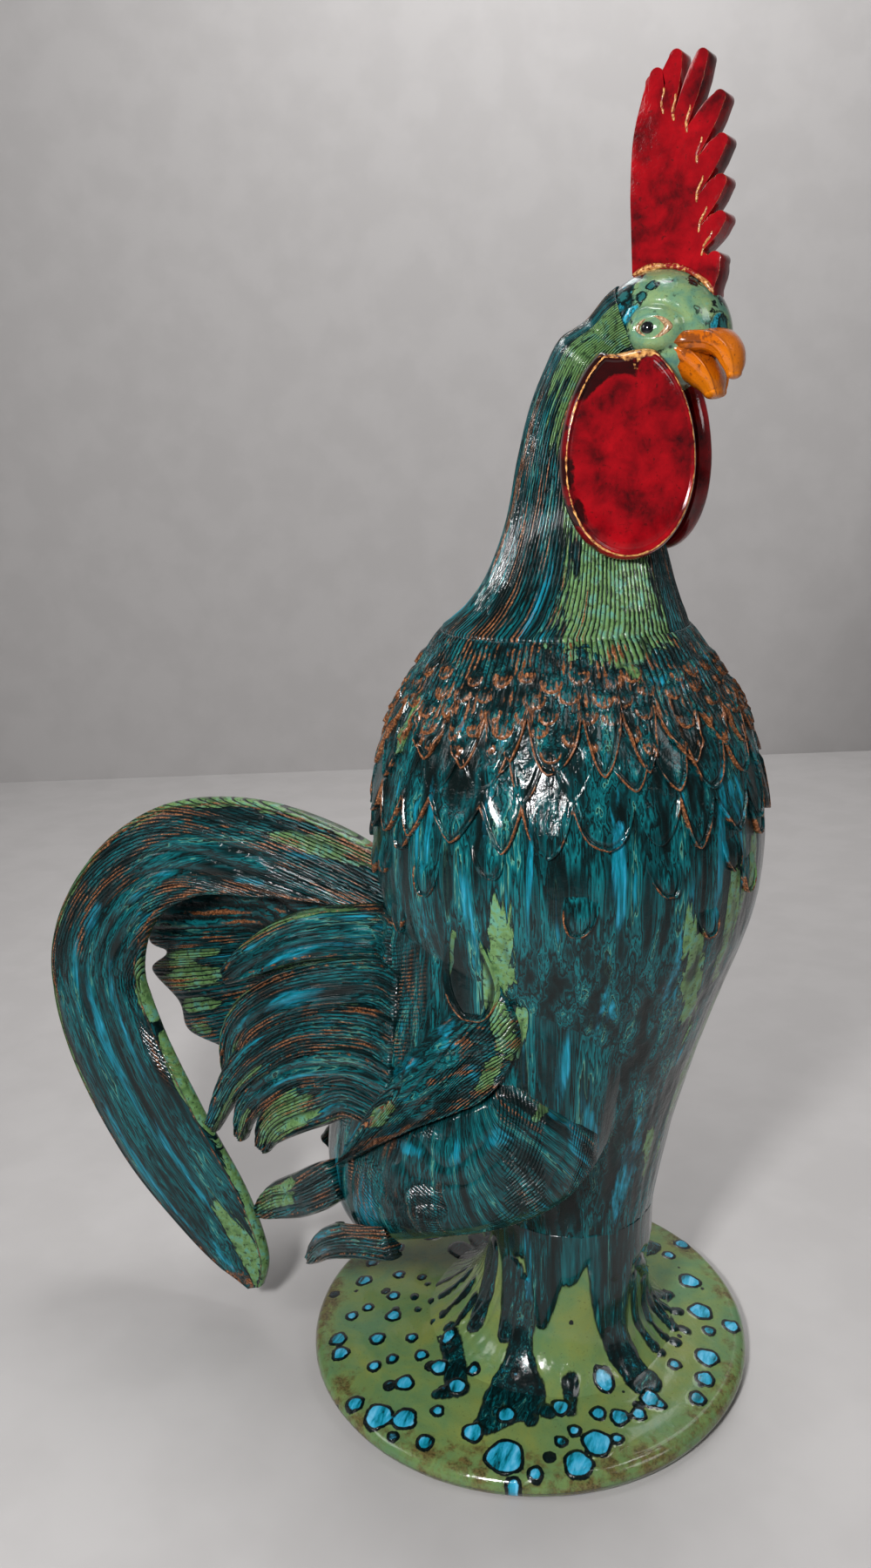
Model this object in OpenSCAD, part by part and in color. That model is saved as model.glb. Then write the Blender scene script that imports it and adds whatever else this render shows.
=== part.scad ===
// Glazed stoneware rooster standing on a domed plinth, open beak and sweeping tail.
// It is thrown, modelled and luted together from separate pieces of clay.
// X is the way the body faces, Y is its left, Z is up, and Z = 0 is the plinth's underside.

/* [Plinth] */
// Radius of the plinth's rim
plinth_r = 117; // [100:1:140]
// Thickness of the rounded rim
plinth_rim_t = 12; // [8:1:18]
// Rise of the domed top above the rim
plinth_dome_h = 9; // [5:1:14]
// Diameter of the firing vent in the underside
vent_d = 10; // [6:1:16]

/* [Leg column] */
// Radius of the column where the body stands on it
column_r = 43; // [36:1:50]
// Radius of the flared foot on the plinth
flare_r = 70; // [62:1:80]
// Height of the seam between column and body
column_top_z = 92; // [80:1:110]
// Wall thickness of the thrown shells
wall = 7; // [5:0.5:9]

/* [Body] */
// Largest radius of the body
body_r = 93.5; // [85:0.5:102]
// Height of the body from the column to the neck
body_h = 300; // [280:1:320]
// How far the body stands forward of the plinth's centre
body_x = 25; // [15:1:32]

/* [Rump] */
// How far the rump stands out behind the body
rump_out = 82; // [64:1:92]
// Height of the rump's lowest edge at the back
rump_low_z = 86; // [80:1:94]
// Height of the rump's top edge at the back
rump_top_z = 262; // [245:1:280]

/* [Neck and head] */
// Radius of the slim part of the neck
neck_r = 31.5; // [28:0.5:34]
// Height of the neck from the body to the middle of the head
neck_h = 121; // [112:1:130]
// How far the head's middle stands forward of the body's middle
head_forward = 45; // [38:1:52]
// Half of the head's length
head_l = 29; // [26:0.5:32]
// Half of the head's width
head_w = 25; // [22:0.5:28]
// Half of the head's height
head_h = 27; // [24:0.5:30]
// Turn of the head to the bird's right, in degrees
head_turn = 10; // [0:1:20]

/* [Comb] */
// Height of the comb above its front foot
comb_h = 95; // [78:1:108]
// Length of the comb from its back edge to its foremost tip
comb_w = 43; // [36:1:50]
// Thickness of the comb's slab
comb_t = 11.5; // [9:0.5:14]

/* [Beak and eyes] */
// Reach of the upper beak from the middle of the head
beak_reach = 33.5; // [31:0.5:37]
// Width of the beak at its root
beak_w = 26; // [23:0.5:29]
// Radius of an eyeball
eye_r = 2.7; // [2:0.1:3.4]

/* [Wattles] */
// Height of a wattle
wattle_h = 88; // [76:1:98]
// Width of a wattle
wattle_w = 58; // [48:1:62]
// Thickness of a wattle
wattle_t = 8.5; // [7:0.5:10]
// Splay of a wattle from the bird's midline, in degrees
wattle_splay = 34; // [30:1:40]

/* [Wings] */
// Angle that a wing spans round the body, in degrees
wing_sweep_angle = 52; // [44:1:58]
// Width of a wing across its shoulder
wing_w = 54; // [44:1:60]
// Thickness of a wing's slab
wing_t = 7; // [5:0.5:9]

/* [Tail] */
// How far the tail's main curve reaches back from the body
tail_reach = 181; // [160:1:195]
// Thickness of the sickle feather
sickle_t = 17; // [12:0.5:20]
// Thickness of the fan's slab
fan_t = 10; // [7:0.5:12]
// Thickness of a covert feather
covert_t = 11; // [8:0.5:14]
// Width of the largest covert feather
covert_w = 31; // [24:1:36]

/* [Shoulder feathers] */
// Number of feathers in each course
course_feathers = 26; // [20:1:30]
// Length of a feather in the first course
course_l = 36; // [30:1:42]
// Thickness of a feather's lower edge
course_t = 1.6; // [1.2:0.1:2.4]

/* [Hidden] */
// Clearance of the slip joint between two pieces
seat = 0.3;
// Overrun of a cut
over = 1;
$fn = 96;

neck_z = column_top_z + body_h;
head_z = neck_z + neck_h;
head_x = body_x + head_forward;

// Outline of the body: height as a share of body_h, radius as a share of body_r
body_shares = [[0, 0.46], [0.1, 0.515], [0.25, 0.635], [0.4, 0.79], [0.55, 0.955], [0.66, 1],
    [0.76, 0.968], [0.85, 0.865], [0.92, 0.72], [0.965, 0.585], [1, 0.49]];

// Smooth curve through points, by Catmull and Rom's rule
function bend(p, i, t) = let (
        a = p[max(i - 1, 0)], b = p[i], c = p[i + 1], d = p[min(i + 2, len(p) - 1)])
    (2 * b + (c - a) * t + (2 * a - 5 * b + 4 * c - d) * t * t + (3 * b - a - 3 * c + d) * t * t * t) / 2;
function through(p, steps) = [
    for (i = [0 : len(p) - 2]) for (k = [0 : steps - 1]) bend(p, i, k / steps), p[len(p) - 1]];
function unit(v) = v / norm(v);
function mix(a, b, t) = a + (b - a) * t;

body_line = [for (s = through(body_shares, 4)) [column_top_z + s[0] * body_h, s[1] * body_r]];
// Radius of the body's outer face at a height, and of the column's head below it
function body_r_at(z) = z < column_top_z ? column_r + wall : lookup(z, body_line);

// Rump: a hollow bulge round the back of the body. Its angle runs from the back to its front edges.
rump_half_angle = 132;
rump_floor_shares = [[0, 0], [40, 0.02], [55, 0.1], [70, 0.165], [90, 0.22], [110, 0.285], [132, 0.44]];
rump_roof_shares = [[0, 1], [60, 0.97], [90, 0.88], [132, 0.72]];
rump_bulge_shares = [[0, 0.9], [0.06, 0.99], [0.16, 1], [0.3, 0.9], [0.5, 0.66], [0.7, 0.36], [0.87, 0.13],
    [1, 0.03]];
rump_rows = 8;
rump_columns = 24;
rump_edge_t = wall * 0.2;
rump_span = rump_top_z - rump_low_z;
function rump_floor(a) = rump_low_z + rump_span * lookup(abs(a), rump_floor_shares);
function rump_roof(a) = rump_low_z + rump_span * lookup(abs(a), rump_roof_shares);
function rump_side(a) = cos(min(abs(a), rump_half_angle) * 90 / rump_half_angle);
// Height of the bulge over the body's face, at an angle from the back and a height
function rump_bulge(a, z) = let (f = rump_floor(a), r = rump_roof(a), v = (z - f) / (r - f))
    abs(a) > rump_half_angle || v > 1 || v < 0 ? 0
        : max(rump_edge_t, rump_out * rump_side(a) * lookup(v, rump_bulge_shares));
// Radius of the outermost skin, body or rump, round the body's axis
function skin_r(a, z) = body_r_at(z) + rump_bulge(a, z);
// Point on a cylinder round the body's axis, with the angle measured from the back to the right
function around(a, r, z) = [body_x - r * cos(a), -r * sin(a), z];
function on_skin(a, z, off) = around(a, skin_r(a, z) + off, z);
// Angle from the back and radius of a point
function angle_of(p) = atan2(-p[1], body_x - p[0]);
function radius_of(p) = norm([p[0] - body_x, p[1]]);
// A point moved straight out until it clears the skin
function clear_skin(p, off) = let (r = skin_r(angle_of(p), p[2]) + off)
    radius_of(p) >= r ? p : around(angle_of(p), r, p[2]);

// Closed solid through rings of points, with a point that closes each end
module loft(rings, first, last) {
    n = len(rings[0]);
    m = len(rings);
    polyhedron(
        points = concat([for (r = rings) each r], [first, last]),
        faces = concat(
            [for (i = [0 : m - 2]) for (j = [0 : n - 1])
                [i * n + j, (i + 1) * n + j, (i + 1) * n + (j + 1) % n]],
            [for (i = [0 : m - 2]) for (j = [0 : n - 1])
                [i * n + j, (i + 1) * n + (j + 1) % n, i * n + (j + 1) % n]],
            [for (j = [0 : n - 1]) [m * n, j, (j + 1) % n]],
            [for (j = [0 : n - 1]) [m * n + 1, (m - 1) * n + (j + 1) % n, (m - 1) * n + j]]));
}

// Closed ring through rings of points, where the last ring meets the first
module hoop(rings) {
    n = len(rings[0]);
    m = len(rings);
    polyhedron(
        points = [for (r = rings) each r],
        faces = concat(
            [for (i = [0 : m - 1]) for (j = [0 : n - 1])
                [i * n + j, ((i + 1) % m) * n + j, ((i + 1) % m) * n + (j + 1) % n]],
            [for (i = [0 : m - 1]) for (j = [0 : n - 1])
                [i * n + j, ((i + 1) % m) * n + (j + 1) % n, i * n + (j + 1) % n]]));
}

// Slab between an outer and an inner sheet of points, both in columns of equal length
module slab(outer, inner) {
    m = len(outer);
    n = len(outer[0]);
    loft([for (c = [0 : m - 1]) concat(outer[c], [for (i = [n - 1 : -1 : 0]) inner[c][i]])],
        mix(outer[0][floor(n / 2)], inner[0][floor(n / 2)], 0.5),
        mix(outer[m - 1][floor(n / 2)], inner[m - 1][floor(n / 2)], 0.5));
}

// Rounded blade swept along a line, thick the way that side points, with every second line of its faces
// sunk by a share of its thickness, to leave ribs between them
function blade_rings(line, widths, thicks, side, n, sunk_shares = [0]) = [
    for (i = [0 : len(line) - 1]) let (
        d = unit(line[min(i + 1, len(line) - 1)] - line[max(i - 1, 0)]),
        w = unit(cross(side, d)),
        s = cross(d, w))
    [for (k = [0 : n - 1]) line[i] + w * widths[i] * cos(360 * k / n)
        + s * thicks[i] * sin(360 * k / n) * (1 - (k % 2) * sunk_shares[i % len(sunk_shares)])]];

module plinth() {
    rim_r = plinth_rim_t / 2;
    dome_r = plinth_r - rim_r;
    color("olivedrab")
    difference() {
        rotate_extrude()
        polygon(concat(
            [[0, 0], [dome_r, 0]],
            [for (a = [-75 : 15 : 90]) [dome_r + rim_r * cos(a), rim_r + rim_r * sin(a)]],
            [for (s = [0.9 : -0.1 : 0]) [dome_r * s, plinth_rim_t + plinth_dome_h * (1 - s * s)]]));
        translate([column_foot_x, 0, -over])
        cylinder(d = vent_d, h = plinth_rim_t + plinth_dome_h + 2 * over);
    }
}
// Height of the plinth's top at a distance from its centre
function plinth_top(r) = let (s = r / (plinth_r - plinth_rim_t / 2)) plinth_rim_t + plinth_dome_h * (1 - s * s);

// Leg column: radius as a share of the way from the column's radius to the flare's, by height share
column_shares = [[0, 1], [0.06, 0.72], [0.16, 0.4], [0.3, 0.17], [0.5, 0.04], [0.75, -0.02], [1, 0]];
column_foot_x = body_x * 0.4;
column_sides = 28;
function column_ring(s, flare, inset) = let (
        z = mix(plinth_top(flare_r), column_top_z, s),
        x = mix(column_foot_x, body_x, sin(90 * min(1, s / 0.8))),
        r = mix(column_r, flare_r, flare) - inset)
    [for (k = [0 : column_sides - 1]) let (
            a = 360 * k / column_sides, px = x + r * cos(a), py = r * sin(a))
        [px, py, s == 0 ? plinth_top(norm([px, py])) + seat : z]];

module leg_column() {
    color("teal")
    hoop(concat(
        [for (c = column_shares) column_ring(c[0], c[1], 0)],
        [for (i = [len(column_shares) - 1 : -1 : 0])
            column_ring(column_shares[i][0], column_shares[i][1], wall)]));
}

module body() {
    color("darkslategray")
    translate([body_x, 0, 0])
    rotate_extrude()
    polygon(concat(
        [for (p = body_line) [p[1], max(p[0], column_top_z + seat)]],
        [for (i = [len(body_line) - 1 : -1 : 0])
            [body_line[i][1] - wall, max(body_line[i][0], column_top_z + seat)]]));
}

module rump() {
    columns = [for (j = [0 : rump_columns])
        mix(rump_half_angle, -rump_half_angle, j / rump_columns)];
    function outer(a) = concat(
        [around(a, body_r_at(rump_floor(a)) + seat, rump_floor(a))],
        [for (i = [0 : rump_rows]) let (z = mix(rump_floor(a), rump_roof(a), i / rump_rows))
            around(a, skin_r(a, z) + seat, z)]);
    function inner(a) = let (f = min(rump_floor(a) + wall, rump_roof(a)), b = body_r_at(rump_floor(a)) + seat)
        concat([around(a, body_r_at(f) + seat, f)],
            [for (i = [0 : rump_rows]) let (
                    z = max(f, mix(rump_floor(a), rump_roof(a), i / rump_rows)))
                around(a, max(body_r_at(z) + seat, skin_r(a, z) + seat - wall), z)]);
    color("darkcyan")
    slab([for (a = columns) outer(a)], [for (a = columns) inner(a)]);
}

// Neck: along head_forward, up neck_h, radius from the body's top to the slim part
neck_shares = [[0, 0, 1], [0.02, 0.035, 0.72], [0.045, 0.085, 0.46], [0.1, 0.19, 0.19], [0.17, 0.38, 0.03],
    [0.25, 0.58, -0.03], [0.33, 0.71, -0.07], [0.455, 0.82, -0.07], [0.56, 0.893, -0.09], [0.67, 0.95, -0.22],
    [0.8, 0.975, -0.1]];
neck_sides = 28;
neck_line = neck_shares;
hood_t = wall * 0.55;
function neck_ring(i, inset) = let (
        p = neck_line[i], q = neck_line[min(i + 1, len(neck_line) - 1)], o = neck_line[max(i - 1, 0)],
        top_r = body_r * body_shares[len(body_shares) - 1][1],
        r = mix(neck_r, top_r, p[2]) - inset,
        d = i == 0 ? [0, 1] : unit([(q[0] - o[0]) * head_forward, (q[1] - o[1]) * neck_h]),
        c = [body_x + p[0] * head_forward, 0, neck_z + p[1] * neck_h + (i == 0 ? seat : 0)])
    [for (k = [0 : neck_sides - 1]) let (a = 360 * k / neck_sides)
        c + [d[1] * cos(a), 0, -d[0] * cos(a)] * r + [0, sin(a), 0] * r];
function head_scale(p, off) = let (
        q = [p[0] - head_x, p[1], p[2] - head_z],
        e = norm([q[0] / (head_l + off), q[1] / (head_w + off), q[2] / (head_h + off)]))
    [head_x, 0, head_z] + q / e;
function head_inside(p, off) = norm([(p[0] - head_x) / (head_l + off), p[1] / (head_w + off),
    (p[2] - head_z) / (head_h + off)]) < 1;
// A point moved out of the head along the line from its middle
function clear_head(p, off) = head_inside(p, off) ? head_scale(p, off) : p;

// The neck's rings, with the hood at its top held off the head
function neck_rows(inset, off) = let (last = len(neck_line) - 1)
    [for (i = [0 : last]) [for (p = neck_ring(i, inset)) i == last ? head_scale(p, off) : clear_head(p, off)]];
module neck() {
    outer = neck_rows(0, hood_t);
    inner = neck_rows(wall, seat);
    color("seagreen")
    hoop(concat(outer, [for (i = [len(inner) - 1 : -1 : 0]) inner[i]]));
}
// The neck's outer form, kept clear by the wattles
module neck_core() {
    rings = neck_rows(-seat, hood_t + seat);
    loft(rings, centre(rings[0]), centre(rings[len(rings) - 1]));
}

// Head: a hollow egg; the comb, beak, eyes and wattles are luted to it
head_sides = 24;
head_rings = 12;
chin_share = 0.45;
module head_frame() {
    translate([head_x, 0, 0])
    rotate([0, 0, -head_turn])
    children();
}
module egg(off, n, m) {
    rings = [for (i = [1 : m - 1]) let (v = 180 * i / m)
        [for (k = [0 : n - 1]) let (
                a = 360 * k / n,
                chin = sin(a) < 0 ? 1 - chin_share * max(0, -cos(v)) : 1)
            [-(head_l + off) * cos(v), (head_w + off) * sin(v) * cos(a),
                head_z + (head_h + off) * sin(v) * sin(a) * chin]]];
    loft(rings, [-(head_l + off), 0, head_z], [head_l + off, 0, head_z]);
}
// The head's outer form, kept clear by the pieces luted to it
module head_core() {
    translate([head_x, 0, 0])
    egg(seat, head_sides, head_rings);
}
module head() {
    color("yellowgreen")
    difference() {
        translate([head_x, 0, 0])
        egg(0, head_sides, head_rings);
        translate([head_x, 0, 0])
        egg(-wall, head_sides / 2, head_rings / 2);
    }
}

// Comb: its foot's front is comb_w forward; shares of comb_w along and comb_h up
comb_back_shares = [[0.03, 0.13], [0.009, 0.34], [0, 0.47], [0.02, 0.67], [0.1, 0.82]];
comb_tip_shares = [[0.25, 0.935], [0.44, 0.99], [0.72, 0.965], [0.92, 0.79], [0.95, 0.625], [0.95, 0.47],
    [0.96, 0.325], [0.9, 0.175]];
comb_notch_shares = [[0.31, 0.77], [0.42, 0.735], [0.56, 0.68], [0.67, 0.55], [0.68, 0.4], [0.71, 0.28],
    [0.75, 0.185], [0.87, 0.03]];
comb_x = -head_l * 0.45;
comb_z = head_z + head_h * 0.5;
comb_tip_r = comb_w * 0.055;
function comb_point(s) = [comb_x + s[0] * comb_w, comb_z + s[1] * comb_h];
// One finger between the notch before it and the notch after it, with a round tip
function finger(before, tip, after) = let (
        d = unit(tip - (before + after) / 2),
        c = tip - d * comb_tip_r,
        s = [-d[1], d[0]])
    concat([for (a = [90 : -36 : -90]) c + comb_tip_r * (d * cos(a) + s * sin(a))], [after]);
module comb() {
    tips = [for (s = comb_tip_shares) comb_point(s)];
    notches = [for (s = comb_notch_shares) comb_point(s)];
    foot = [for (a = [0 : 10 : 60]) let (x = mix(head_l * 0.84, comb_x + comb_w * 0.05, a / 60))
        [x, head_z + (head_h + seat) * sqrt(1 - pow(x / (head_l + seat), 2))]];
    color("firebrick")
    head_frame()
    rotate([90, 0, 0])
    translate([0, 0, -comb_t / 2])
    linear_extrude(comb_t)
    polygon(concat(
        through([for (s = comb_back_shares) comb_point(s)], 3),
        [for (i = [0 : len(tips) - 1])
            each finger(i == 0 ? comb_point([0.13, 0.86]) : notches[i - 1], tips[i], notches[i])],
        foot));
}

// Beak: shares of beak_reach forward and down from the head's middle, then of beak_w and of its height
upper_beak_shares = [[0.2, 0.16, 1.55, 0.9], [0.5, 0.15, 1.58, 0.95], [0.74, 0.16, 1.12, 0.86],
    [0.88, 0.27, 0.76, 0.66], [0.96, 0.44, 0.5, 0.48], [0.99, 0.63, 0.24, 0.2]];
lower_beak_shares = [[0.1, 0.2, 1.5, 0.9], [0.34, 0.33, 1.55, 0.95], [0.5, 0.48, 1.22, 0.85],
    [0.62, 0.68, 0.86, 0.6], [0.72, 0.86, 0.42, 0.36]];
beak_h = beak_w * 0.3;
beak_sides = 12;
// Rings of a beak, where above and below say how far it is rounded over and under its edges
function beak_rings(shares, above, below) = let (
        pts = through(shares, 2),
        last = len(pts) - 1)
    [for (i = [0 : last]) let (
            p = pts[i], q = pts[min(i + 1, last)], o = pts[max(i - 1, 0)],
            d = unit([q[0] - o[0], 0, o[1] - q[1]]),
            up = [-d[2], 0, d[0]],
            c = [p[0] * beak_reach, 0, head_z - p[1] * beak_reach],
            w = p[2] * beak_w / 2, h = p[3] * beak_h)
        [for (k = [0 : beak_sides - 1]) let (
                a = 360 * k / beak_sides, y = cos(a), z = sin(a),
                f = z > 0 ? z * above : z * below)
            c + [0, w * y, 0] + up * h * f]];
module beak(shares, above, below) {
    rings = beak_rings(shares, above, below);
    color("darkorange")
    difference() {
        head_frame()
        loft(rings, centre(rings[0]), centre(rings[len(rings) - 1]));
        head_core();
    }
}
function centre(ring) = [for (ax = [0 : 2]) total([for (p = ring) p[ax]]) / len(ring)];
function total(v) = v * [for (i = v) 1];
module upper_beak() {
    beak(upper_beak_shares, 1, 0.1);
}
module lower_beak() {
    beak(lower_beak_shares, -0.3, 1);
}

// Eye: direction from the head's middle, in degrees from straight ahead and above level
eye_side = 81;
eye_up = 4;
lid_w = eye_r * 2.3;
lid_h = eye_r * 1.35;
lid_r = eye_r * 0.3;
lid_shift = eye_r * 0.75;
function egg_radius(a, e) = 1 / norm([cos(e) * cos(a) / head_l, cos(e) * sin(a) / head_w, sin(e) / head_h]);
module at_eye() {
    translate([0, 0, head_z])
    rotate([0, -eye_up, -eye_side])
    translate([egg_radius(eye_side, eye_up) + seat, 0, 0])
    rotate([0, 90, 0])
    children();
}
module eye() {
    color("black")
    head_frame()
    at_eye()
    rotate_extrude($fn = 24)
    polygon([for (a = [0 : 15 : 90]) [eye_r * cos(a), eye_r * 0.6 * sin(a)], [0, 0]]);
}
// Almond of rolled clay round the eye, pointed toward the beak
module eyelid() {
    color("tan")
    head_frame()
    at_eye()
    hoop([for (k = [0 : 19]) let (
            a = 360 * k / 20,
            o = [cos(a), sin(a)],
            c = [cos(a) * lid_h * (1 - 0.35 * sin(a)), sin(a) * lid_w + lid_shift])
        [for (b = [0 : -60 : -300]) [c[0] + o[0] * lid_r * cos(b), c[1] + o[1] * lid_r * cos(b),
            lid_r + lid_r * sin(b)]]]);
}
module right_eye() {
    eye();
}
module left_eye() {
    mirrored_head() eye();
}
module right_eyelid() {
    eyelid();
}
module left_eyelid() {
    mirrored_head() eyelid();
}
// Mirror image across the head's own midline
module mirrored_head() {
    translate([head_x, 0, 0])
    rotate([0, 0, -head_turn])
    mirror([0, 1, 0])
    rotate([0, 0, head_turn])
    translate([-head_x, 0, 0])
    children();
}

// Wattle: rings through its thickness, as shares of its half sizes; it hangs clear of the neck,
// with a flattened top that leans in to the cheek
wattle_ring_shares = [[0.8, -1], [0.95, -0.8], [1, -0.3], [1, 0.3], [0.95, 0.8], [0.8, 1]];
wattle_drop = wattle_h * 0.53;
wattle_side = head_w * 1.2;
wattle_back = head_l * 0.24;
wattle_top_share = 0.9;
wattle_points = 28;
wattle_lug = wattle_t * 0.6;
module wattle() {
    c = cos(wattle_splay);
    n = sin(wattle_splay);
    rings = [for (s = wattle_ring_shares)
        [for (k = [0 : wattle_points - 1]) let (
                a = -360 * k / wattle_points,
                x = s[0] * wattle_w / 2 * cos(a) * (1 - 0.1 * sin(a)),
                z = s[0] * wattle_h / 2 * min(sin(a), wattle_top_share),
                lean = sin(a) > 0.6 && s[1] > 0.5 ? wattle_lug : 0,
                y = s[1] * wattle_t / 2 + lean)
            [head_x - wattle_back + x * c - y * n, x * n + y * c - wattle_side, head_z - wattle_drop + z]]];
    color("crimson")
    difference() {
        loft(rings, centre(rings[0]), centre(rings[len(rings) - 1]));
        head_core();
        neck_core();
    }
}
module right_wattle() {
    wattle();
}
module left_wattle() {
    mirror([0, 1, 0])
    wattle();
}

// Wing: a folded slab that runs round the skin from the shoulder to its tip, over a lower panel
wing_front_angle = 91;
wing_front_z = column_top_z + body_h * 0.43;
wing_tip_z = rump_low_z + rump_span * 0.3;
// Share along the wing, then its half widths above and below the middle line
wing_shares = [[0, 0.42, 0.4], [0.06, 0.78, 0.76], [0.18, 1, 0.98], [0.4, 0.96, 0.92], [0.65, 0.78, 0.76],
    [0.85, 0.52, 0.52], [1, 0.24, 0.24]];
wing_rows = 6;
// Degrees that the middle of the wing's ends bows past their edges
wing_bow_angle = 2.5;
function wing_angle(s) = wing_front_angle - wing_sweep_angle * s;
function wing_middle(s) = mix(wing_front_z, wing_tip_z, pow(s, 1.7));
function crown(t) = 0.4 + 0.6 * sqrt(max(0, 1 - t * t));
// Slab on the skin through columns of angle, lower height and upper height
module panel(columns, thick, bow) {
    function sheet(off) = [for (c = columns)
        [for (i = [0 : wing_rows]) let (t = 1 - 2 * i / wing_rows, z = mix(c[2], c[1], (1 + t) / 2))
            on_skin(c[0] + bow * (1 - t * t), z, 2 * seat + off * thick * crown(t))]];
    slab(sheet(1), sheet(0));
}
module wing() {
    color("cadetblue")
    panel([for (s = through(wing_shares, 2)) [wing_angle(s[0]), wing_middle(s[0]) - s[2] * wing_w / 2,
        wing_middle(s[0]) + s[1] * wing_w / 2]], wing_t, wing_bow_angle);
}
// Lower panel: fills the haunch between the wing's lower edge and the rump's floor
panel_front_angle = 116;
panel_back_angle = 42;
panel_columns = 12;
wing_low_line = [for (s = through(wing_shares, 2)) [wing_angle(s[0]), wing_middle(s[0]) - s[2] * wing_w / 2]];
wing_low = [for (i = [len(wing_low_line) - 1 : -1 : 0]) wing_low_line[i]];
module wing_panel() {
    color("darkslateblue")
    panel([for (j = [0 : panel_columns]) let (
            a = mix(panel_front_angle, panel_back_angle, j / panel_columns),
            low = rump_floor(a) + 2 * seat,
            high = lookup(min(a, wing_front_angle - 6), wing_low) - wing_t * 0.6,
            ease = sqrt(min(1, (j + 0.3) / 4)))
        [a, low, low + max(wing_t, (high - low) * ease)]], wing_t, 0);
}
module right_wing() {
    wing();
}
module left_wing() {
    mirror([0, 1, 0])
    wing();
}
module right_wing_panel() {
    wing_panel();
}
module left_wing_panel() {
    mirror([0, 1, 0])
    wing_panel();
}

// Shoulder feathers: courses of scallops round the body, each a closed collar tucked under the one above
course_top_shares = [0.945, 0.893, 0.82];
course_length_shares = [1, 0.86, 0.9];
course_steps = 4;
// How far a scallop hangs at each step from its notch, and the part of its length above the notches
course_drop_shares = [[0, 0], [1, 0.86], [2, 1], [3, 0.86], [4, 0]];
course_band_share = 0.36;
course_tuck = course_l * 0.08;
// Height of a course's lower edge, with u the steps round the body from the first course's notch
function course_edge(i, u) = let (
        v = u + (i % 2) * course_steps / 2,
        f = v - course_steps * floor(v / course_steps))
    column_top_z + body_h * course_top_shares[i]
        - course_l * course_length_shares[i] * mix(course_band_share, 1, lookup(f, course_drop_shares));
module course(i) {
    n = course_feathers * course_steps;
    lift = course_t * 0.7;
    function at(u, z, off) = around(-360 * u / n, body_r_at(z) + off, z);
    color("steelblue")
    hoop([for (k = [0 : n - 1]) let (
            u = k + (i % 2) * course_steps / 2,
            z0 = i == 0 ? column_top_z + body_h * course_top_shares[0] : course_edge(i - 1, u) + course_tuck,
            z2 = min(course_edge(i, u), z0 - course_tuck * 0.9), z1 = (z0 + z2) / 2,
            q = min(1, (z0 - z2) / (course_l * 0.25)))
        [at(u, z2, 2 * seat + lift * q), at(u, z2, 2 * seat + (lift + course_t) * q),
            at(u, z1, 2 * seat + (lift * 0.8 + course_t) * q), at(u, z0, 2 * seat),
            at(u, z1, 2 * seat + lift * q)]]);
}
module feather_course_1() {
    course(0);
}
module feather_course_2() {
    course(1);
}
module feather_course_3() {
    course(2);
}

// Tail: lines are shares of tail_reach back and up from its root on the body, then to the side
tail_root_z = column_top_z + body_h * 0.545;
tail_root_x = body_x - skin_r(0, tail_root_z);
function tail_point(s) = [tail_root_x - s[0] * tail_reach, -s[2] * tail_reach, tail_root_z + s[1] * tail_reach];

// Sickle feather: back, up, side, half width, half thickness
sickle_shares = [[0, -0.015, 0.05, 0.088, 1], [0.19, 0.05, 0.06, 0.125, 1], [0.42, 0.085, 0.09, 0.15, 0.95],
    [0.66, 0.066, 0.12, 0.146, 0.9], [0.86, -0.066, 0.15, 0.142, 0.9], [0.975, -0.3, 0.17, 0.17, 0.9],
    [0.93, -0.56, 0.185, 0.19, 0.9], [0.775, -0.85, 0.2, 0.188, 0.85], [0.6, -1.07, 0.215, 0.155, 0.75],
    [0.49, -1.22, 0.225, 0.1, 0.6], [0.45, -1.31, 0.23, 0.03, 0.35]];
sickle_sides = 28;
// Depth of the grooves between the ribs along the sickle, which fade out toward its plain tip
sickle_groove_shares = [[0, 0], [0.1, 0.13], [0.45, 0.14], [0.7, 0.06], [0.9, 0.03], [1, 0]];
module sickle_feather() {
    line = through(sickle_shares, 2);
    pts = [for (s = line) tail_point(s)];
    grooves = [for (i = [0 : len(line) - 1]) lookup(i / (len(line) - 1), sickle_groove_shares)];
    rings = blade_rings(pts, [for (s = line) s[3] * tail_reach], [for (s = line) s[4] * sickle_t / 2],
        [0, -1, 0], sickle_sides, grooves);
    seated = [for (i = [0 : len(rings) - 1]) i > 2 ? rings[i]
        : [for (p = rings[i]) i == 0 ? on_skin(angle_of(p), p[2], 2 * seat) : clear_skin(p, 2 * seat)]];
    color("teal")
    loft(seated, on_skin(angle_of(pts[0]), pts[0][2], 2 * seat), pts[len(pts) - 1]);
}

// Tail fan: its feathers spread from the body, each with a tip; back and up shares of tail_reach
fan_tip_shares = [[0.72, 0.0], [0.95, -0.3], [0.89, -0.36], [0.955, -0.43], [0.86, -0.53], [0.83, -0.63],
    [0.68, -0.68], [0.62, -0.76], [0.48, -0.78]];
fan_side = -0.055;
fan_rows = 5;
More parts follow.
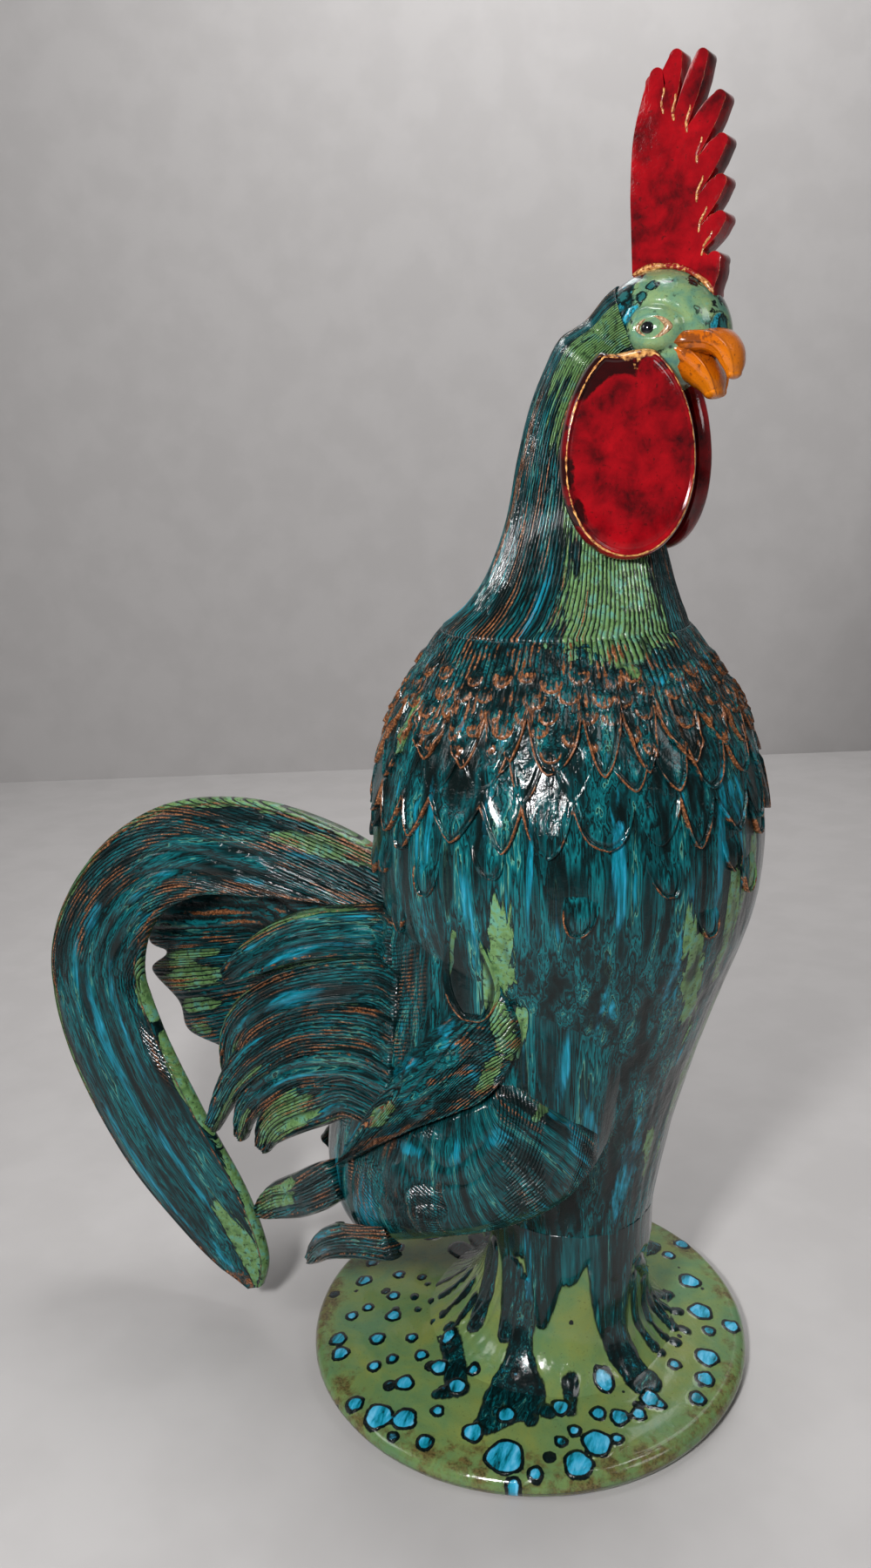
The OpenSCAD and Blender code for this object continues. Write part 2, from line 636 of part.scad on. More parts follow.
// Depth of the grooves between the fan's feathers, as a share of its half thickness
fan_groove_share = 0.32;
module tail_fan() {
    tips = through(fan_tip_shares, 3);
    root_top = tail_root_z - tail_reach * 0.06;
    root_low = tail_root_z - tail_reach * 0.42;
    function column(j, side) = let (
            u = j / (len(tips) - 1),
            z = mix(root_top, root_low, u),
            y = -fan_side * tail_reach + side * fan_t / 2,
            start = [0, y, z])
        [for (i = [0 : fan_rows]) let (
                v = i / fan_rows,
                a = tail_point([tips[j][0], tips[j][1], fan_side]),
                groove = j % 2 == 0 ? fan_groove_share * sin(150 * v) : 0,
                h = side * fan_t / 2 * (1 - 0.45 * v) * (1 - groove),
                r = skin_r(0, z) + 2 * seat,
                b = [body_x - r * cos(asin(y / r)), 0, z])
            [mix(b[0], a[0], v), -fan_side * tail_reach + h, mix(z, a[2], sin(90 * v) * 0.35 + v * 0.65)]];
    color("seagreen")
    slab([for (j = [0 : len(tips) - 1]) column(j, -1)], [for (j = [0 : len(tips) - 1]) column(j, 1)]);
}

// Coverts: angle and height share of the root on the skin, width share, then the points of the
// middle line, back, up and to the side of the tail's root
covert_shares = [
    [22, 0.88, 0.9, [[0.2, -0.12, 0.2], [0.37, -0.205, 0.2], [0.485, -0.285, 0.195]]],
    [30, 0.745, 0.95, [[0.2, -0.275, 0.25], [0.36, -0.365, 0.24], [0.45, -0.47, 0.225], [0.49, -0.61, 0.21]]],
    [33, 0.63, 0.85, [[0.19, -0.38, 0.27], [0.34, -0.475, 0.26], [0.46, -0.6, 0.24], [0.565, -0.78, 0.22]]],
    [36, 0.53, 0.7, [[0.2, -0.5, 0.285], [0.33, -0.59, 0.27], [0.41, -0.68, 0.255], [0.45, -0.78, 0.24]]],
    [36, 0.47, 0.85, [[0.13, -0.56, 0.32], [0.24, -0.63, 0.31], [0.31, -0.7, 0.295], [0.345, -0.77, 0.285]]]];
// The vent and thigh feathers have their points in shares of rump_out from their own roots
vent_shares = [36, 0.2, 0.75, [[0.32, -0.26, -0.145], [0.605, -0.46, -0.275], [0.85, -0.68, -0.41]]];
thigh_shares = [60, 0.15, 0.6, [[0.32, -0.175, -0.18], [0.63, -0.4, -0.355], [0.86, -0.68, -0.53]]];
covert_width_shares = [0.85, 1, 1, 0.95, 0.84, 0.62, 0.2];
covert_tilt = 0.3;
covert_sides = 8;
covert_rings = 10;
// Value of a smooth curve at a share of its whole length
function along(p, u) = let (t = u * (len(p) - 1), i = min(floor(t), len(p) - 2)) bend(p, i, t - i);
// Feather from a root on the skin along its middle line to its tip, seated off the skin
module hanging_feather(c, off = 2 * seat, from_root = false) {
    root = on_skin(c[0], mix(rump_low_z, rump_top_z, c[1]), off);
    spine = concat([root], [for (s = c[3]) from_root ? root + [-s[0], -s[2], s[1]] * rump_out : tail_point(s)]);
    line = [for (i = [0 : covert_rings - 1]) along(spine, i / (covert_rings - 1))];
    last = len(line) - 1;
    widths = [for (i = [0 : last]) covert_w * c[2] / 2
        * lookup(6 * i / last, [for (k = [0 : 6]) [k, covert_width_shares[k]]])];
    thicks = [for (i = [0 : last]) covert_t / 2 * mix(1, 0.6, i / last)];
    rings = blade_rings(line, widths, thicks, unit([-0.3 * sin(c[0]), -1, covert_tilt]), covert_sides);
    seated = [for (i = [0 : last])
        [for (p = rings[i]) i == 0 ? on_skin(angle_of(p), p[2], off) : clear_skin(p, off)]];
    loft(seated, on_skin(angle_of(line[0]), line[0][2], off), line[last]);
}
// Each covert tucks under the one above it, and the lowest under the wing's tip
module covert(i) {
    color(["teal", "darkcyan", "seagreen", "teal", "yellowgreen"][i])
    difference() {
        hanging_feather(covert_shares[i]);
        if (i > 0) hanging_feather(covert_shares[i - 1]);
        if (i > 1) hanging_feather(covert_shares[i - 2]);
    }
}
module vent_feather() {
    color("yellowgreen")
    hanging_feather(vent_shares, from_root = true);
}
// The thigh feather lies over the wing's lower panel
module thigh_feather() {
    color("cadetblue")
    hanging_feather(thigh_shares, wing_t + 3 * seat, true);
}
module right_covert_1() {
    covert(0);
}
module right_covert_2() {
    covert(1);
}
module right_covert_3() {
    covert(2);
}
module right_covert_4() {
    covert(3);
}
module right_covert_5() {
    covert(4);
}
module left_covert_1() {
    mirror([0, 1, 0]) covert(0);
}
module left_covert_2() {
    mirror([0, 1, 0]) covert(1);
}
module left_covert_3() {
    mirror([0, 1, 0]) covert(2);
}
module left_covert_4() {
    mirror([0, 1, 0]) covert(3);
}
module left_covert_5() {
    mirror([0, 1, 0]) covert(4);
}
module right_vent_feather() {
    vent_feather();
}
module left_vent_feather() {
    mirror([0, 1, 0]) vent_feather();
}
module right_thigh_feather() {
    thigh_feather();
}
module left_thigh_feather() {
    mirror([0, 1, 0]) thigh_feather();
}

plinth();
leg_column();
body();
rump();
neck();
head();
comb();
upper_beak();
lower_beak();
right_eye();
left_eye();
right_eyelid();
left_eyelid();
right_wattle();
left_wattle();
right_wing();
left_wing();
right_wing_panel();
left_wing_panel();
feather_course_1();
feather_course_2();
feather_course_3();
sickle_feather();
tail_fan();
right_covert_1();
right_covert_2();
right_covert_3();
right_covert_4();
right_covert_5();
left_covert_1();
left_covert_2();
left_covert_3();
left_covert_4();
left_covert_5();
right_thigh_feather();
left_thigh_feather();
right_vent_feather();
left_vent_feather();
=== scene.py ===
# Glazed stoneware rooster: combed, scalloped and feathered clay under running glazes.
# Lengths are in millimetres until a piece's points are set, and angles are in degrees.
import math
import bpy
import mathutils
import numpy as np
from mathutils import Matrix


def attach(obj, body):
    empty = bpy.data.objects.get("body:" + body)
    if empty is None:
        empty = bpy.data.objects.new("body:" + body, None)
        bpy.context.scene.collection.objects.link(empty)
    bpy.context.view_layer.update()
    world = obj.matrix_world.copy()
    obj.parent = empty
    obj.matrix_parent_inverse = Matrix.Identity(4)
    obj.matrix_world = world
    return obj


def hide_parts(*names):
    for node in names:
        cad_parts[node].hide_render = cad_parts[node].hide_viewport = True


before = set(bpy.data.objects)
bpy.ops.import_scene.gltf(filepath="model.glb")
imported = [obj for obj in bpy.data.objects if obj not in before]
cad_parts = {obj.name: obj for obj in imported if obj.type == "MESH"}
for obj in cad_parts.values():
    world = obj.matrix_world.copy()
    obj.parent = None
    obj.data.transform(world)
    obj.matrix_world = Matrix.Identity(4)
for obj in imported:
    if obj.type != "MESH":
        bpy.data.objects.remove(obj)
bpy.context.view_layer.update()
mm = 0.001
fine = 1.0

# Driving sizes of the figure
plinth_r = 117
plinth_rim_t = 12
plinth_dome_h = 9
column_r = 43
flare_r = 70
column_top_z = 92
wall = 7
body_r = 93.5
body_h = 300
body_x = 25
rump_out = 82
rump_low_z = 86
rump_top_z = 262
neck_r = 31.5
neck_h = 121
head_forward = 45
head_l = 29
head_w = 25
head_h = 27
head_turn = 10
comb_h = 95
comb_w = 43
comb_t = 11.5
beak_reach = 33.5
beak_w = 26
eye_r = 2.7
wattle_h = 88
wattle_w = 58
wattle_t = 8.5
wattle_splay = 34
wing_sweep = 52
wing_w = 54
wing_t = 7
tail_reach = 181
sickle_t = 17
fan_t = 10
covert_t = 11
covert_w = 31
course_feathers = 26
course_l = 36
comb_tool_pitch = 1.9

neck_z = column_top_z + body_h
head_x = body_x + head_forward
head_z = neck_z + neck_h


# Curves and fields

def curve(points, steps=12):
    """A smooth curve through points, by Catmull and Rom's rule."""
    p = np.array(points, float)
    padded = np.vstack([p[0], p, p[-1]])
    t = np.arange(steps)[:, None] / steps
    parts = []
    for a, b, c, d in zip(padded[:-3], padded[1:-2], padded[2:-1], padded[3:]):
        parts.append((2 * b + (c - a) * t + (2 * a - 5 * b + 4 * c - d) * t ** 2
                      + (3 * b - a - 3 * c + d) * t ** 3) / 2)
    return np.vstack(parts + [p[-1:]])


def smooth(points):
    """A function of one value that runs smoothly through points, each a value and its result."""
    line = curve(points)
    return lambda x: np.interp(x, line[:, 0], line[:, 1])


def along(points, s):
    """Points of a smooth curve at shares s of its whole run, each span taking an equal share."""
    line = curve(points, 16)
    at = np.linspace(0, 1, len(line))
    return np.stack([np.interp(s, at, line[:, i]) for i in range(line.shape[1])], -1)


def mix(a, b, t):
    return a + (b - a) * t


def step(low, high, x):
    """0 below low, 1 above high, and smooth between them."""
    t = np.clip((x - low) / (high - low), 0, 1)
    return t * t * (3 - 2 * t)


def hill(x, width):
    """1 where x is 0, falling smoothly to nothing about two widths away."""
    return np.exp(-(x / width) ** 2)


def sin(a):
    return np.sin(np.radians(a))


def cos(a):
    return np.cos(np.radians(a))


def unit(v):
    return v / np.maximum(np.linalg.norm(v, axis=-1, keepdims=True), 1e-9)


def noise(p, seed=0):
    """Smooth noise from 0 to 1 at points p, with one cell to each unit."""
    cell = np.floor(p).astype(np.int64)
    f = p - cell
    f = f * f * (3 - 2 * f)
    total = np.zeros(len(p))
    for corner in np.ndindex(2, 2, 2):
        c = cell + np.array(corner)
        h = c[:, 0] * 374761393 + c[:, 1] * 668265263 + c[:, 2] * 924784337 + seed * 1274126177
        h = ((h ^ (h >> 13)) * 1103515245) & 0x7FFFFFFF
        weight = np.prod(np.where(corner, f, 1 - f), axis=1)
        total += weight * (((h >> 9) & 0xFFFF) / 0xFFFF)
    return total


def clouds(x, y, z, size, seed=0, octaves=3):
    """Layered noise from 0 to 1 whose largest lumps are size wide."""
    p = np.stack(np.broadcast_arrays(x, y, z), -1).astype(float) / size
    total = 0
    for i in range(octaves):
        total = total + noise(p * 2 ** i + 17.3 * i, seed + i) / 2 ** i
    return total / (2 - 2 ** (1 - octaves))


def ridges(x):
    """Round ridges one unit apart with narrow grooves between them, from 0 to 1."""
    return np.abs(np.sin(np.pi * x)) ** 0.7


def random(i, seed=0):
    """A fixed random number from 0 to 1 for each whole number i."""
    h = (np.asarray(i).astype(np.int64) * 2654435761 + seed * 40503) & 0xFFFFFFFF
    h = ((h ^ (h >> 15)) * 2246822519) & 0xFFFFFFFF
    return ((h ^ (h >> 13)) & 0xFFFF) / 0xFFFF


# Clay: a flat sheet is rolled out, wrapped on its form and closed

weld_gap = 0.02
# The grain changes slowly upward, so that the glaze runs down
upright_grain = 0.06
# A laid sheet is folded back behind itself by this share, and its rim sinks this far under the skin
rear_share = 0.12
tuck = -1.5


def points_of(obj):
    """A mesh's own points, one to a row."""
    points = np.empty(len(obj.data.vertices) * 3)
    obj.data.vertices.foreach_get("co", points)
    return points.reshape(-1, 3)


def move_points(obj, points):
    obj.data.vertices.foreach_set("co", points.ravel())


def work_on(obj, *steps):
    """Runs steps of mesh editing, each on all of a piece's points."""
    bpy.ops.object.select_all(action="DESELECT")
    obj.select_set(True)
    bpy.context.view_layer.objects.active = obj
    bpy.ops.object.mode_set(mode="EDIT")
    for run, settings in steps:
        bpy.ops.mesh.select_all(action="SELECT")
        run(**settings)
    bpy.ops.mesh.select_all(action="DESELECT")
    bpy.ops.object.mode_set(mode="OBJECT")


def sheet(name, across, length):
    """A flat sheet of clay, with u across it and v along it, each from 0 to 1."""
    bpy.ops.object.select_all(action="DESELECT")
    bpy.ops.mesh.primitive_grid_add(x_subdivisions=max(8, int(across * fine)),
                                    y_subdivisions=max(6, int(length * fine)), size=1)
    obj = bpy.context.object
    obj.name = name
    obj.data.name = name
    flat = points_of(obj)
    return obj, flat[:, 0] + 0.5, flat[:, 1] + 0.5


def lay(obj, name, kind, key, values):
    """Keeps a value for each face corner, so that both sides of a seam keep their own."""
    corners = np.empty(len(obj.data.loops), np.int32)
    obj.data.loops.foreach_get("vertex_index", corners)
    attribute = obj.data.attributes.new(name, kind, "CORNER")
    attribute.data.foreach_set(key, values[corners].astype(np.float32).ravel())


def wrap(obj, points, grain=None, **fields):
    """Puts the sheet's points on their form, closes its seams and ends, and turns its faces outward.

    The grain gives the coordinates, in millimetres, that the glaze runs along, and the fields are the
    values that the glazes read by name.
    """
    p = np.asarray(points)
    move_points(obj, p * mm)
    for name, values in fields.items():
        lay(obj, name, "FLOAT", "value", np.broadcast_to(values, len(p)))
    grain = grain or (p[:, 0], p[:, 1], p[:, 2] * upright_grain)
    lay(obj, "grain", "FLOAT_VECTOR", "vector", np.stack(np.broadcast_arrays(*grain), -1) * mm)
    work_on(obj, (bpy.ops.mesh.remove_doubles, {"threshold": weld_gap * mm}),
            (bpy.ops.mesh.fill_holes, {"sides": 0}),
            (bpy.ops.mesh.normals_make_consistent, {"inside": False}))
    bpy.ops.object.shade_smooth()


def spans(v, *ends):
    """How far v is, from 0 to 1, through each of the stretches that the ends part it into."""
    edges = (0, *ends, 1)
    return [np.clip((v - low) / (high - low), 0, 1) for low, high in zip(edges, edges[1:])]


def folded(v):
    """Folds a sheet back behind itself: the place along its face, and whether a point is on its face."""
    face, rear = spans(v, 1 - rear_share)
    return face - rear, (v > 0) & (rear == 0)


def seat_piece(obj, material, slot, *nodes):
    """Gives a piece its glaze, and lets it stand for its CAD nodes."""
    obj.data.materials.clear()
    obj.data.materials.append(material)
    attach(obj, "root")
    if nodes:
        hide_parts(*nodes)
    return obj


def mirrored(obj, name):
    """A copy of a piece on the other side of the bird's midline, with its own mesh."""
    copy = obj.copy()
    copy.data = obj.data.copy()
    copy.name = name
    copy.data.name = name
    bpy.context.collection.objects.link(copy)
    move_points(copy, points_of(copy) * (1, -1, 1))
    copy.data.flip_normals()
    return copy


def seat_pair(right, name, material, slot, *nodes):
    """Seats a right-hand piece, then its twin on the left, with the side before each node's name."""
    seat_piece(right, material, slot, *["right_" + node for node in nodes])
    left = mirrored(right, "left_" + name)
    seat_piece(left, material, slot, *["left_" + node for node in nodes])


# The figure's skin: the thrown body, and the rump and haunches that bulge from its back

body_shares = [[0, 0.46], [0.1, 0.515], [0.25, 0.635], [0.4, 0.79], [0.55, 0.955], [0.66, 1], [0.76, 0.968],
               [0.85, 0.885], [0.92, 0.775], [0.965, 0.685], [1, 0.605]]
body_share_at = smooth(body_shares)
rump_half_angle = 132
rump_floor_share = smooth([[0, 0], [40, 0.02], [55, 0.1], [70, 0.165], [90, 0.22], [110, 0.285],
                           [132, 0.44]])
rump_roof_share = smooth([[0, 1], [60, 0.97], [90, 0.88], [132, 0.72]])
rump_bulge_share = smooth([[0, 0.93], [0.06, 0.99], [0.16, 1], [0.3, 0.9], [0.5, 0.66], [0.7, 0.36],
                           [0.87, 0.12], [1, 0]])
rump_span = rump_top_z - rump_low_z
rump_soft = 0.05


def body_r_at(z):
    return body_r * body_share_at((z - column_top_z) / body_h)


def rump_floor(a):
    return rump_low_z + rump_span * rump_floor_share(np.abs(a))


def rump_roof(a):
    return rump_low_z + rump_span * rump_roof_share(np.abs(a))


def rump_side(a):
    side = cos(np.minimum(np.abs(a), rump_half_angle) * 90 / rump_half_angle)
    return (np.sqrt(side ** 2 + rump_soft ** 2) - rump_soft) / (1 - rump_soft)


def rump_bulge(a, z):
    """Height of the rump over the thrown body, at an angle from the back and a height."""
    v = (z - rump_floor(a)) / (rump_roof(a) - rump_floor(a))
    inside = (np.abs(a) < rump_half_angle) & (v >= 0) & (v <= 1)
    return np.where(inside, rump_out * rump_side(a) * rump_bulge_share(np.clip(v, 0, 1)), 0)


def skin_r(a, z):
    """Distance from the body's axis to the skin, where angles run from the back over the right side."""
    return body_r_at(z) + rump_bulge(a, z)


def around(a, r, z):
    """Points on a cylinder about the body's axis, with the angle from the back over the right side."""
    return np.stack(np.broadcast_arrays(body_x - r * cos(a), -r * sin(a), z), -1)


def on_skin(a, z, off):
    return around(a, skin_r(a, z) + off, z)


def clear_skin(p, off):
    """Points moved straight out until they clear the skin."""
    a = np.degrees(np.arctan2(-p[..., 1], body_x - p[..., 0]))
    r = np.hypot(p[..., 0] - body_x, p[..., 1])
    need = skin_r(a, p[..., 2]) + off
    return np.where((r >= need)[..., None], p, around(a, need, p[..., 2]))


def signed(a):
    """Angles brought between -180 and 180."""
    return (np.asarray(a) + 180) % 360 - 180


def patch(a, z, places):
    """How deep inside the nearest of some upright oval patches a place lies: 1 at a middle, 0 at an edge."""
    best = np.full(np.shape(a), -1.0)
    for middle, height, wide, tall, lean in places:
        off = signed(a - middle - lean * (z - height) / tall)
        best = np.maximum(best, 1 - np.hypot(off / wide, (z - height) / tall))
    return best


# Patches of light green and of turquoise on the body: angle, height, half width in degrees, half height
# and lean in degrees
green_places = [(89.5, 266, 3.4, 27, 0), (92, 222, 3, 13, 2), (149, 240, 4.5, 36, -7), (168, 285, 3, 20, 4),
                (160, 268, 4, 30, -2), (174, 190, 6, 50, 6), (156, 138, 5, 18, -4), (-60, 250, 4, 34, 4),
                (-120, 200, 5, 50, -6), (-150, 300, 3, 30, 2), (-92, 262, 3, 22, 0)]
blue_places = [(121, 302, 2.2, 36, 0), (67, 308, 1.8, 40, 2), (81, 280, 2.4, 24, -1), (140, 260, 2.6, 36, 3),
               (106, 204, 2.6, 26, 3), (153, 300, 2.2, 50, 4), (98, 296, 1.2, 30, 1), (86, 322, 1.6, 14, 0),
               (118, 236, 1.6, 20, 2), (115, 175, 3, 26, -6), (159, 320, 1.6, 16, 0),
               (-80, 280, 4, 50, 3), (-110, 230, 4, 50, 0), (-30, 280, 4, 40, 0), (180, 220, 4, 60, 2),
               (10, 300, 4, 30, 0), (-160, 200, 5, 50, 0),
               (33, 112, 6, 24, 0), (-33, 112, 6, 24, 0), (-60, 140, 5, 30, 0), (140, 130, 8, 30, 4)]


def torso():
    """The thrown body, with faint dents and upright runs in its surface under its running glaze."""
    obj, u, v = sheet("body", 360, 150)
    a = 360 * u
    z = mix(column_top_z - 1.5, neck_z - 4, v)
    x, y = around(a, body_r_at(z), z)[:, :2].T
    runs = clouds(x, y, z * 0.1, 6, 3)
    dents = clouds(x, y, z, 40, 5)
    p = around(a, body_r_at(z) - 1.2 + 1.2 * runs + 0.6 * dents, z)
    # Darker where the runs leave the surface low: partly pooled glaze, partly painted shade.
    wrap(obj, p, green=patch(a, z, green_places), blue=patch(a, z, blue_places), dip=step(0.42, 0.3, runs))
    return seat_piece(obj, body_glaze, "body_glaze", "body")


def rump():
    """The rump and haunches: a bulge that melts into the body, combed where the tail's feathers spring."""
    obj, u, v = sheet("rump", 320, 150)
    a = mix(-rump_half_angle, rump_half_angle, u)
    under, up, back = spans(v, 0.12, 0.86)
    floor, roof = rump_floor(a), rump_roof(a)
    z = mix(floor, roof, up - back)
    skin = skin_r(a, z)
    core = body_r_at(z) - 2.5
    x, y = around(a, skin, z)[:, :2].T
    runs = clouds(x, y, z * 0.12, 6, 8)
    melt = 1 - step(0, 5, skin - body_r_at(z))
    face = skin - 1.2 + 1.1 * runs + 0.6 * clouds(x, y, z, 36, 2) - 1.2 * melt
    edge_r = 3.5
    near = np.clip((z - floor) / edge_r, 0, 1)
    face = face - edge_r * (1 - np.sqrt(1 - (1 - near) ** 2)) * step(0, 6, skin - body_r_at(z))
    r = np.where(back > 0, core, mix(core, face, under))
    side = np.abs(a)
    reach = (60 - side) * np.pi / 180 * skin
    strokes = (z + 0.42 * reach + 4 * clouds(reach, z, 0 * z, 22, 31)) / comb_tool_pitch
    window = step(66, 52, side) * step(6, 16, side) * step(112, 140, z) * step(256, 238, z)
    cut = window * step(0.36, 0.5, clouds(reach * 0.6, z, side * 0, 16, 33))
    line = np.where(v < 0.13, step(60, 75, side), 0)
    # Darker where the runs leave the surface low: partly pooled glaze, partly painted shade.
    wrap(obj, around(a, r, z), green=patch(a, z, green_places), dip=step(0.42, 0.3, runs) * (1 - cut),
         blue=patch(a, z, blue_places + [(28, 190, 5, 16, 0), (30, 238, 4, 12, 0), (-28, 190, 5, 16, 0)]),
         copper=line, strokes=strokes, cut=cut, worn=0.2)
    return seat_piece(obj, body_glaze, "body_glaze", "rump")


# Shoulder feathers: courses of scallops, each with a raised lip where the glaze breaks to copper

course_top_shares = [0.945, 0.893, 0.82]
course_length_shares = [1, 0.86, 0.9]
course_band_share = 0.36


def course_place(i, a):
    """The feather of a course at an angle: its number, and the share across it from notch to notch."""
    turn = -np.asarray(a) / 360 * course_feathers + (i % 2) * 0.5
    turn = turn + 0.10 * np.sin(turn * 2.1 + i) + 0.05 * np.sin(turn * 5.3 + 2 * i)
    return np.floor(turn) % course_feathers, turn - np.floor(turn)


def course_edge(i, a):
    """Height of a course's scalloped lower edge."""
    number, share = course_place(i, a)
    x = np.abs(2 * share - 1)
    drop = 0.72 * (1 - x ** 2.4) + 0.28 * (1 - x)
    drop = drop * mix(0.8, 1.06, random(number, 7 * i + 1))
    return (column_top_z + body_h * course_top_shares[i]
            - course_l * course_length_shares[i] * mix(course_band_share, 1, drop))


def half_moons(a, z, r, first_z, rows, count, wide, seed):
    """Rows of small half-moon stamps: the height of their ribbed beads, and where their sharp lips run."""
    height = np.zeros(np.shape(a))
    lip = np.zeros(np.shape(a))
    for i in range(rows * count):
        row, k = divmod(i, count)
        if random(i, seed + 5) < 0.2:
            continue
        middle = (k + 0.5 * (row % 2) + 0.4 * (random(i, seed) - 0.5)) * 360 / count
        level = first_z - row * 6.8 + 3.5 * (random(i, seed + 1) - 0.5)
        size = wide * mix(0.85, 1.15, random(i, seed + 2))
        dx = signed(a - middle) * np.pi / 180 * r / (size / 2)
        dz = (z - level) / (size * 0.44)
        near = (np.abs(dx) < 1.5) & (np.abs(dz) < 1.8)
        rho = np.hypot(dx, np.minimum(dz, 0.5 * dz))
        bead = (1 - step(0.8, 1.02, rho)) * (1 - step(0.2, 0.9, dz))
        height = np.maximum(height, np.where(near, bead * (0.72 + 0.28 * np.cos(dx * 12.6)), 0))
        lip = np.maximum(lip, np.where(near, hill(rho - 0.96, 0.16) * step(0.5, 0.0, dz), 0))
    return height, lip


def course(i):
    """One collar of scalloped feathers round the shoulders, each with a thin raised lip."""
    obj, u, v = sheet("feather_course_%d" % (i + 1), 700 if i == 0 else 600, 92 if i == 0 else 60)
    a = 360 * u
    w, face = folded(v)
    edge = course_edge(i, a)
    edge_r = body_r_at(edge) * np.pi / 180
    slope = (course_edge(i, a + 0.2) - course_edge(i, a - 0.2)) / (0.4 * edge_r)
    top = neck_z - 1 if i == 0 else course_edge(i - 1, a) + 7
    rise = (top - edge) * w ** 1.4
    off_lip = rise / np.sqrt(1 + slope ** 2)
    z = edge + rise
    r = body_r_at(z)
    x, y = around(a, r, z)[:, :2].T
    share = course_place(i, a)[1]
    show = mix(0.2, 1, step(0.34, 0.56, clouds(x, y, z, 22, 30 + i) + (0.16 if i == 0 else 0)))
    lift = 1.1 * show * (1 - step(3, 16, rise)) + 0.55
    lip = 0.9 * show * hill(off_lip - 0.55, 0.6)
    groove = 0.75 * show * hill(off_lip - 2.0, 0.9)
    swell = 0.7 * np.sin(np.pi * share) * hill(rise - 8, 8)
    runs = clouds(x, y, z * 0.1, 6, 3)
    height = lift + lip - groove + swell + 0.5 * (runs - 0.5)
    broken = step(0.30, 0.52, clouds(x, y, z, 7, 37 + i))
    copper = show * (0.35 + 0.65 * broken) * hill(off_lip - 0.4, 0.62)
    # Painted shade: dark beside each raised lip and in the low places of the runs, partly pooled glaze and
    # partly painted shadow.
    dip = np.maximum(show * hill(off_lip - 1.9, 0.9), 0.8 * step(0.42, 0.3, runs))
    extra = dict(strokes=0, cut=0, worn=0)
    if i == 0:
        lines = a * neck_grooves / 360 + comb_wave(a, z)
        combed = ridges(lines)
        bead, bead_lip = half_moons(a, z, r, 377, 5, 38, 8.6, 11)
        strokes = step(342, 366, z + 10 * clouds(x, y, 0 * z, 14, 19) - 5)
        gap = 1 - np.maximum(bead, bead_lip)
        height = height + 1.7 * bead + 0.4 * bead_lip + 0.6 * (combed - 1) * strokes * gap
        height = mix(height, 0.4 * (combed - 1), step(0.93, 1, w))
        dip = np.maximum(dip, hill(bead - 0.3, 0.2))
        copper = np.maximum(copper, 0.75 * bead_lip + 0.56 * bead)
        extra = dict(strokes=lines, cut=strokes * gap, worn=0.2)
    height = np.where(face, height, -1.4)
    side = np.abs(signed(a + 180))
    green = patch(a, z, [(49, 352, 2.5, 12, 0), (-70, 340, 2.5, 12, 0)])
    blue = patch(a, z, blue_places)
    if i == 0:
        across, along_y = -30 * cos(a), -30 * sin(a)
        green = np.maximum(green, neck_greens(side, z, neck_lumps(across, along_y, z)))
        blue = np.maximum(blue, neck_blues(side, z))
    wrap(obj, around(a, r + height, z), green=green, blue=blue, copper=copper, dip=dip, **extra)
    return seat_piece(obj, body_glaze, "scale_glaze", "feather_course_%d" % (i + 1))


# Stray feathers low on the breast and flanks: angle, height of the tip, width, length, lean in degrees
stray_shares = [(110, 272, 17, 32, 5), (88, 296, 17, 32, -4), (135, 286, 17, 34, -8), (66, 282, 16, 32, 5),
                (150, 262, 13, 26, -6), (167, 276, 15, 30, -3), (56, 300, 14, 30, 7), (45, 284, 14, 30, 7),
                (36, 302, 14, 30, 6), (30, 276, 14, 30, 6), (49, 256, 13, 28, 6), (20, 290, 14, 30, 4),
                (158, 290, 13, 28, -5), (174, 300, 14, 30, -4), (-30, 270, 15, 30, 5), (-64, 280, 16, 30, 4),
                (-96, 272, 15, 32, -4), (-126, 284, 15, 30, -5), (-156, 272, 15, 30, 3), (6, 272, 14, 30, 3)]


def feather_half(w, wide, quick, power):
    """Half the width of a feather along it, from its round tip, where w is 0."""
    return wide / 2 * np.sqrt(np.clip(1 - (1 - np.minimum(w * quick, 1)) ** power, 0, 1))


def stray_feather(place, number):
    """One feather laid on the breast, whose root melts into the body."""
    middle, tip_z, wide, length, lean = place
    obj, u, v = sheet("breast_feather_%02d" % number, 46, 44)
    w, face = folded(v)
    x = 2 * u - 1
    rise = length * w
    half = feather_half(w, wide, 1.9, 2.1) * mix(1, 0.85, w)
    z = tip_z + rise
    r = body_r_at(z)
    a = middle + x * half / (r * np.pi / 180) + lean * w * 0.6
    edge = np.minimum((1 - np.abs(x)) * half, rise)
    fade = 1 - step(0.15, 0.50, w - 0.12 * x * math.cos(2.4 * number))
    broken = step(0.36, 0.56, clouds(x * 6, w * 9, 0 * x, 4, 70 + number))
    rim = 0.8 * hill(edge - 0.7, 0.6) - 0.6 * hill(edge - 2, 0.8)
    height = mix(1.2, -1.4, step(0.2, 0.85, w)) + rim * fade
    height = np.where(face & (np.abs(x) < 0.97), height, tuck)
    p = around(a, r + height, z)
    # The dark band inside each feather's raised rim is partly pooled glaze in its groove and partly painted
    # shade.
    wrap(obj, p, green=patch(a, z, green_places), blue=patch(a, z, blue_places),
         copper=(0.3 + 0.5 * broken) * hill(edge - 0.5, 0.8) * fade, dip=hill(edge - 2.1, 0.9) * fade)
    return seat_piece(obj, body_glaze, "body_glaze")


# Neck: shares along head_forward, up neck_h and from the slim neck's radius to that of the body's top

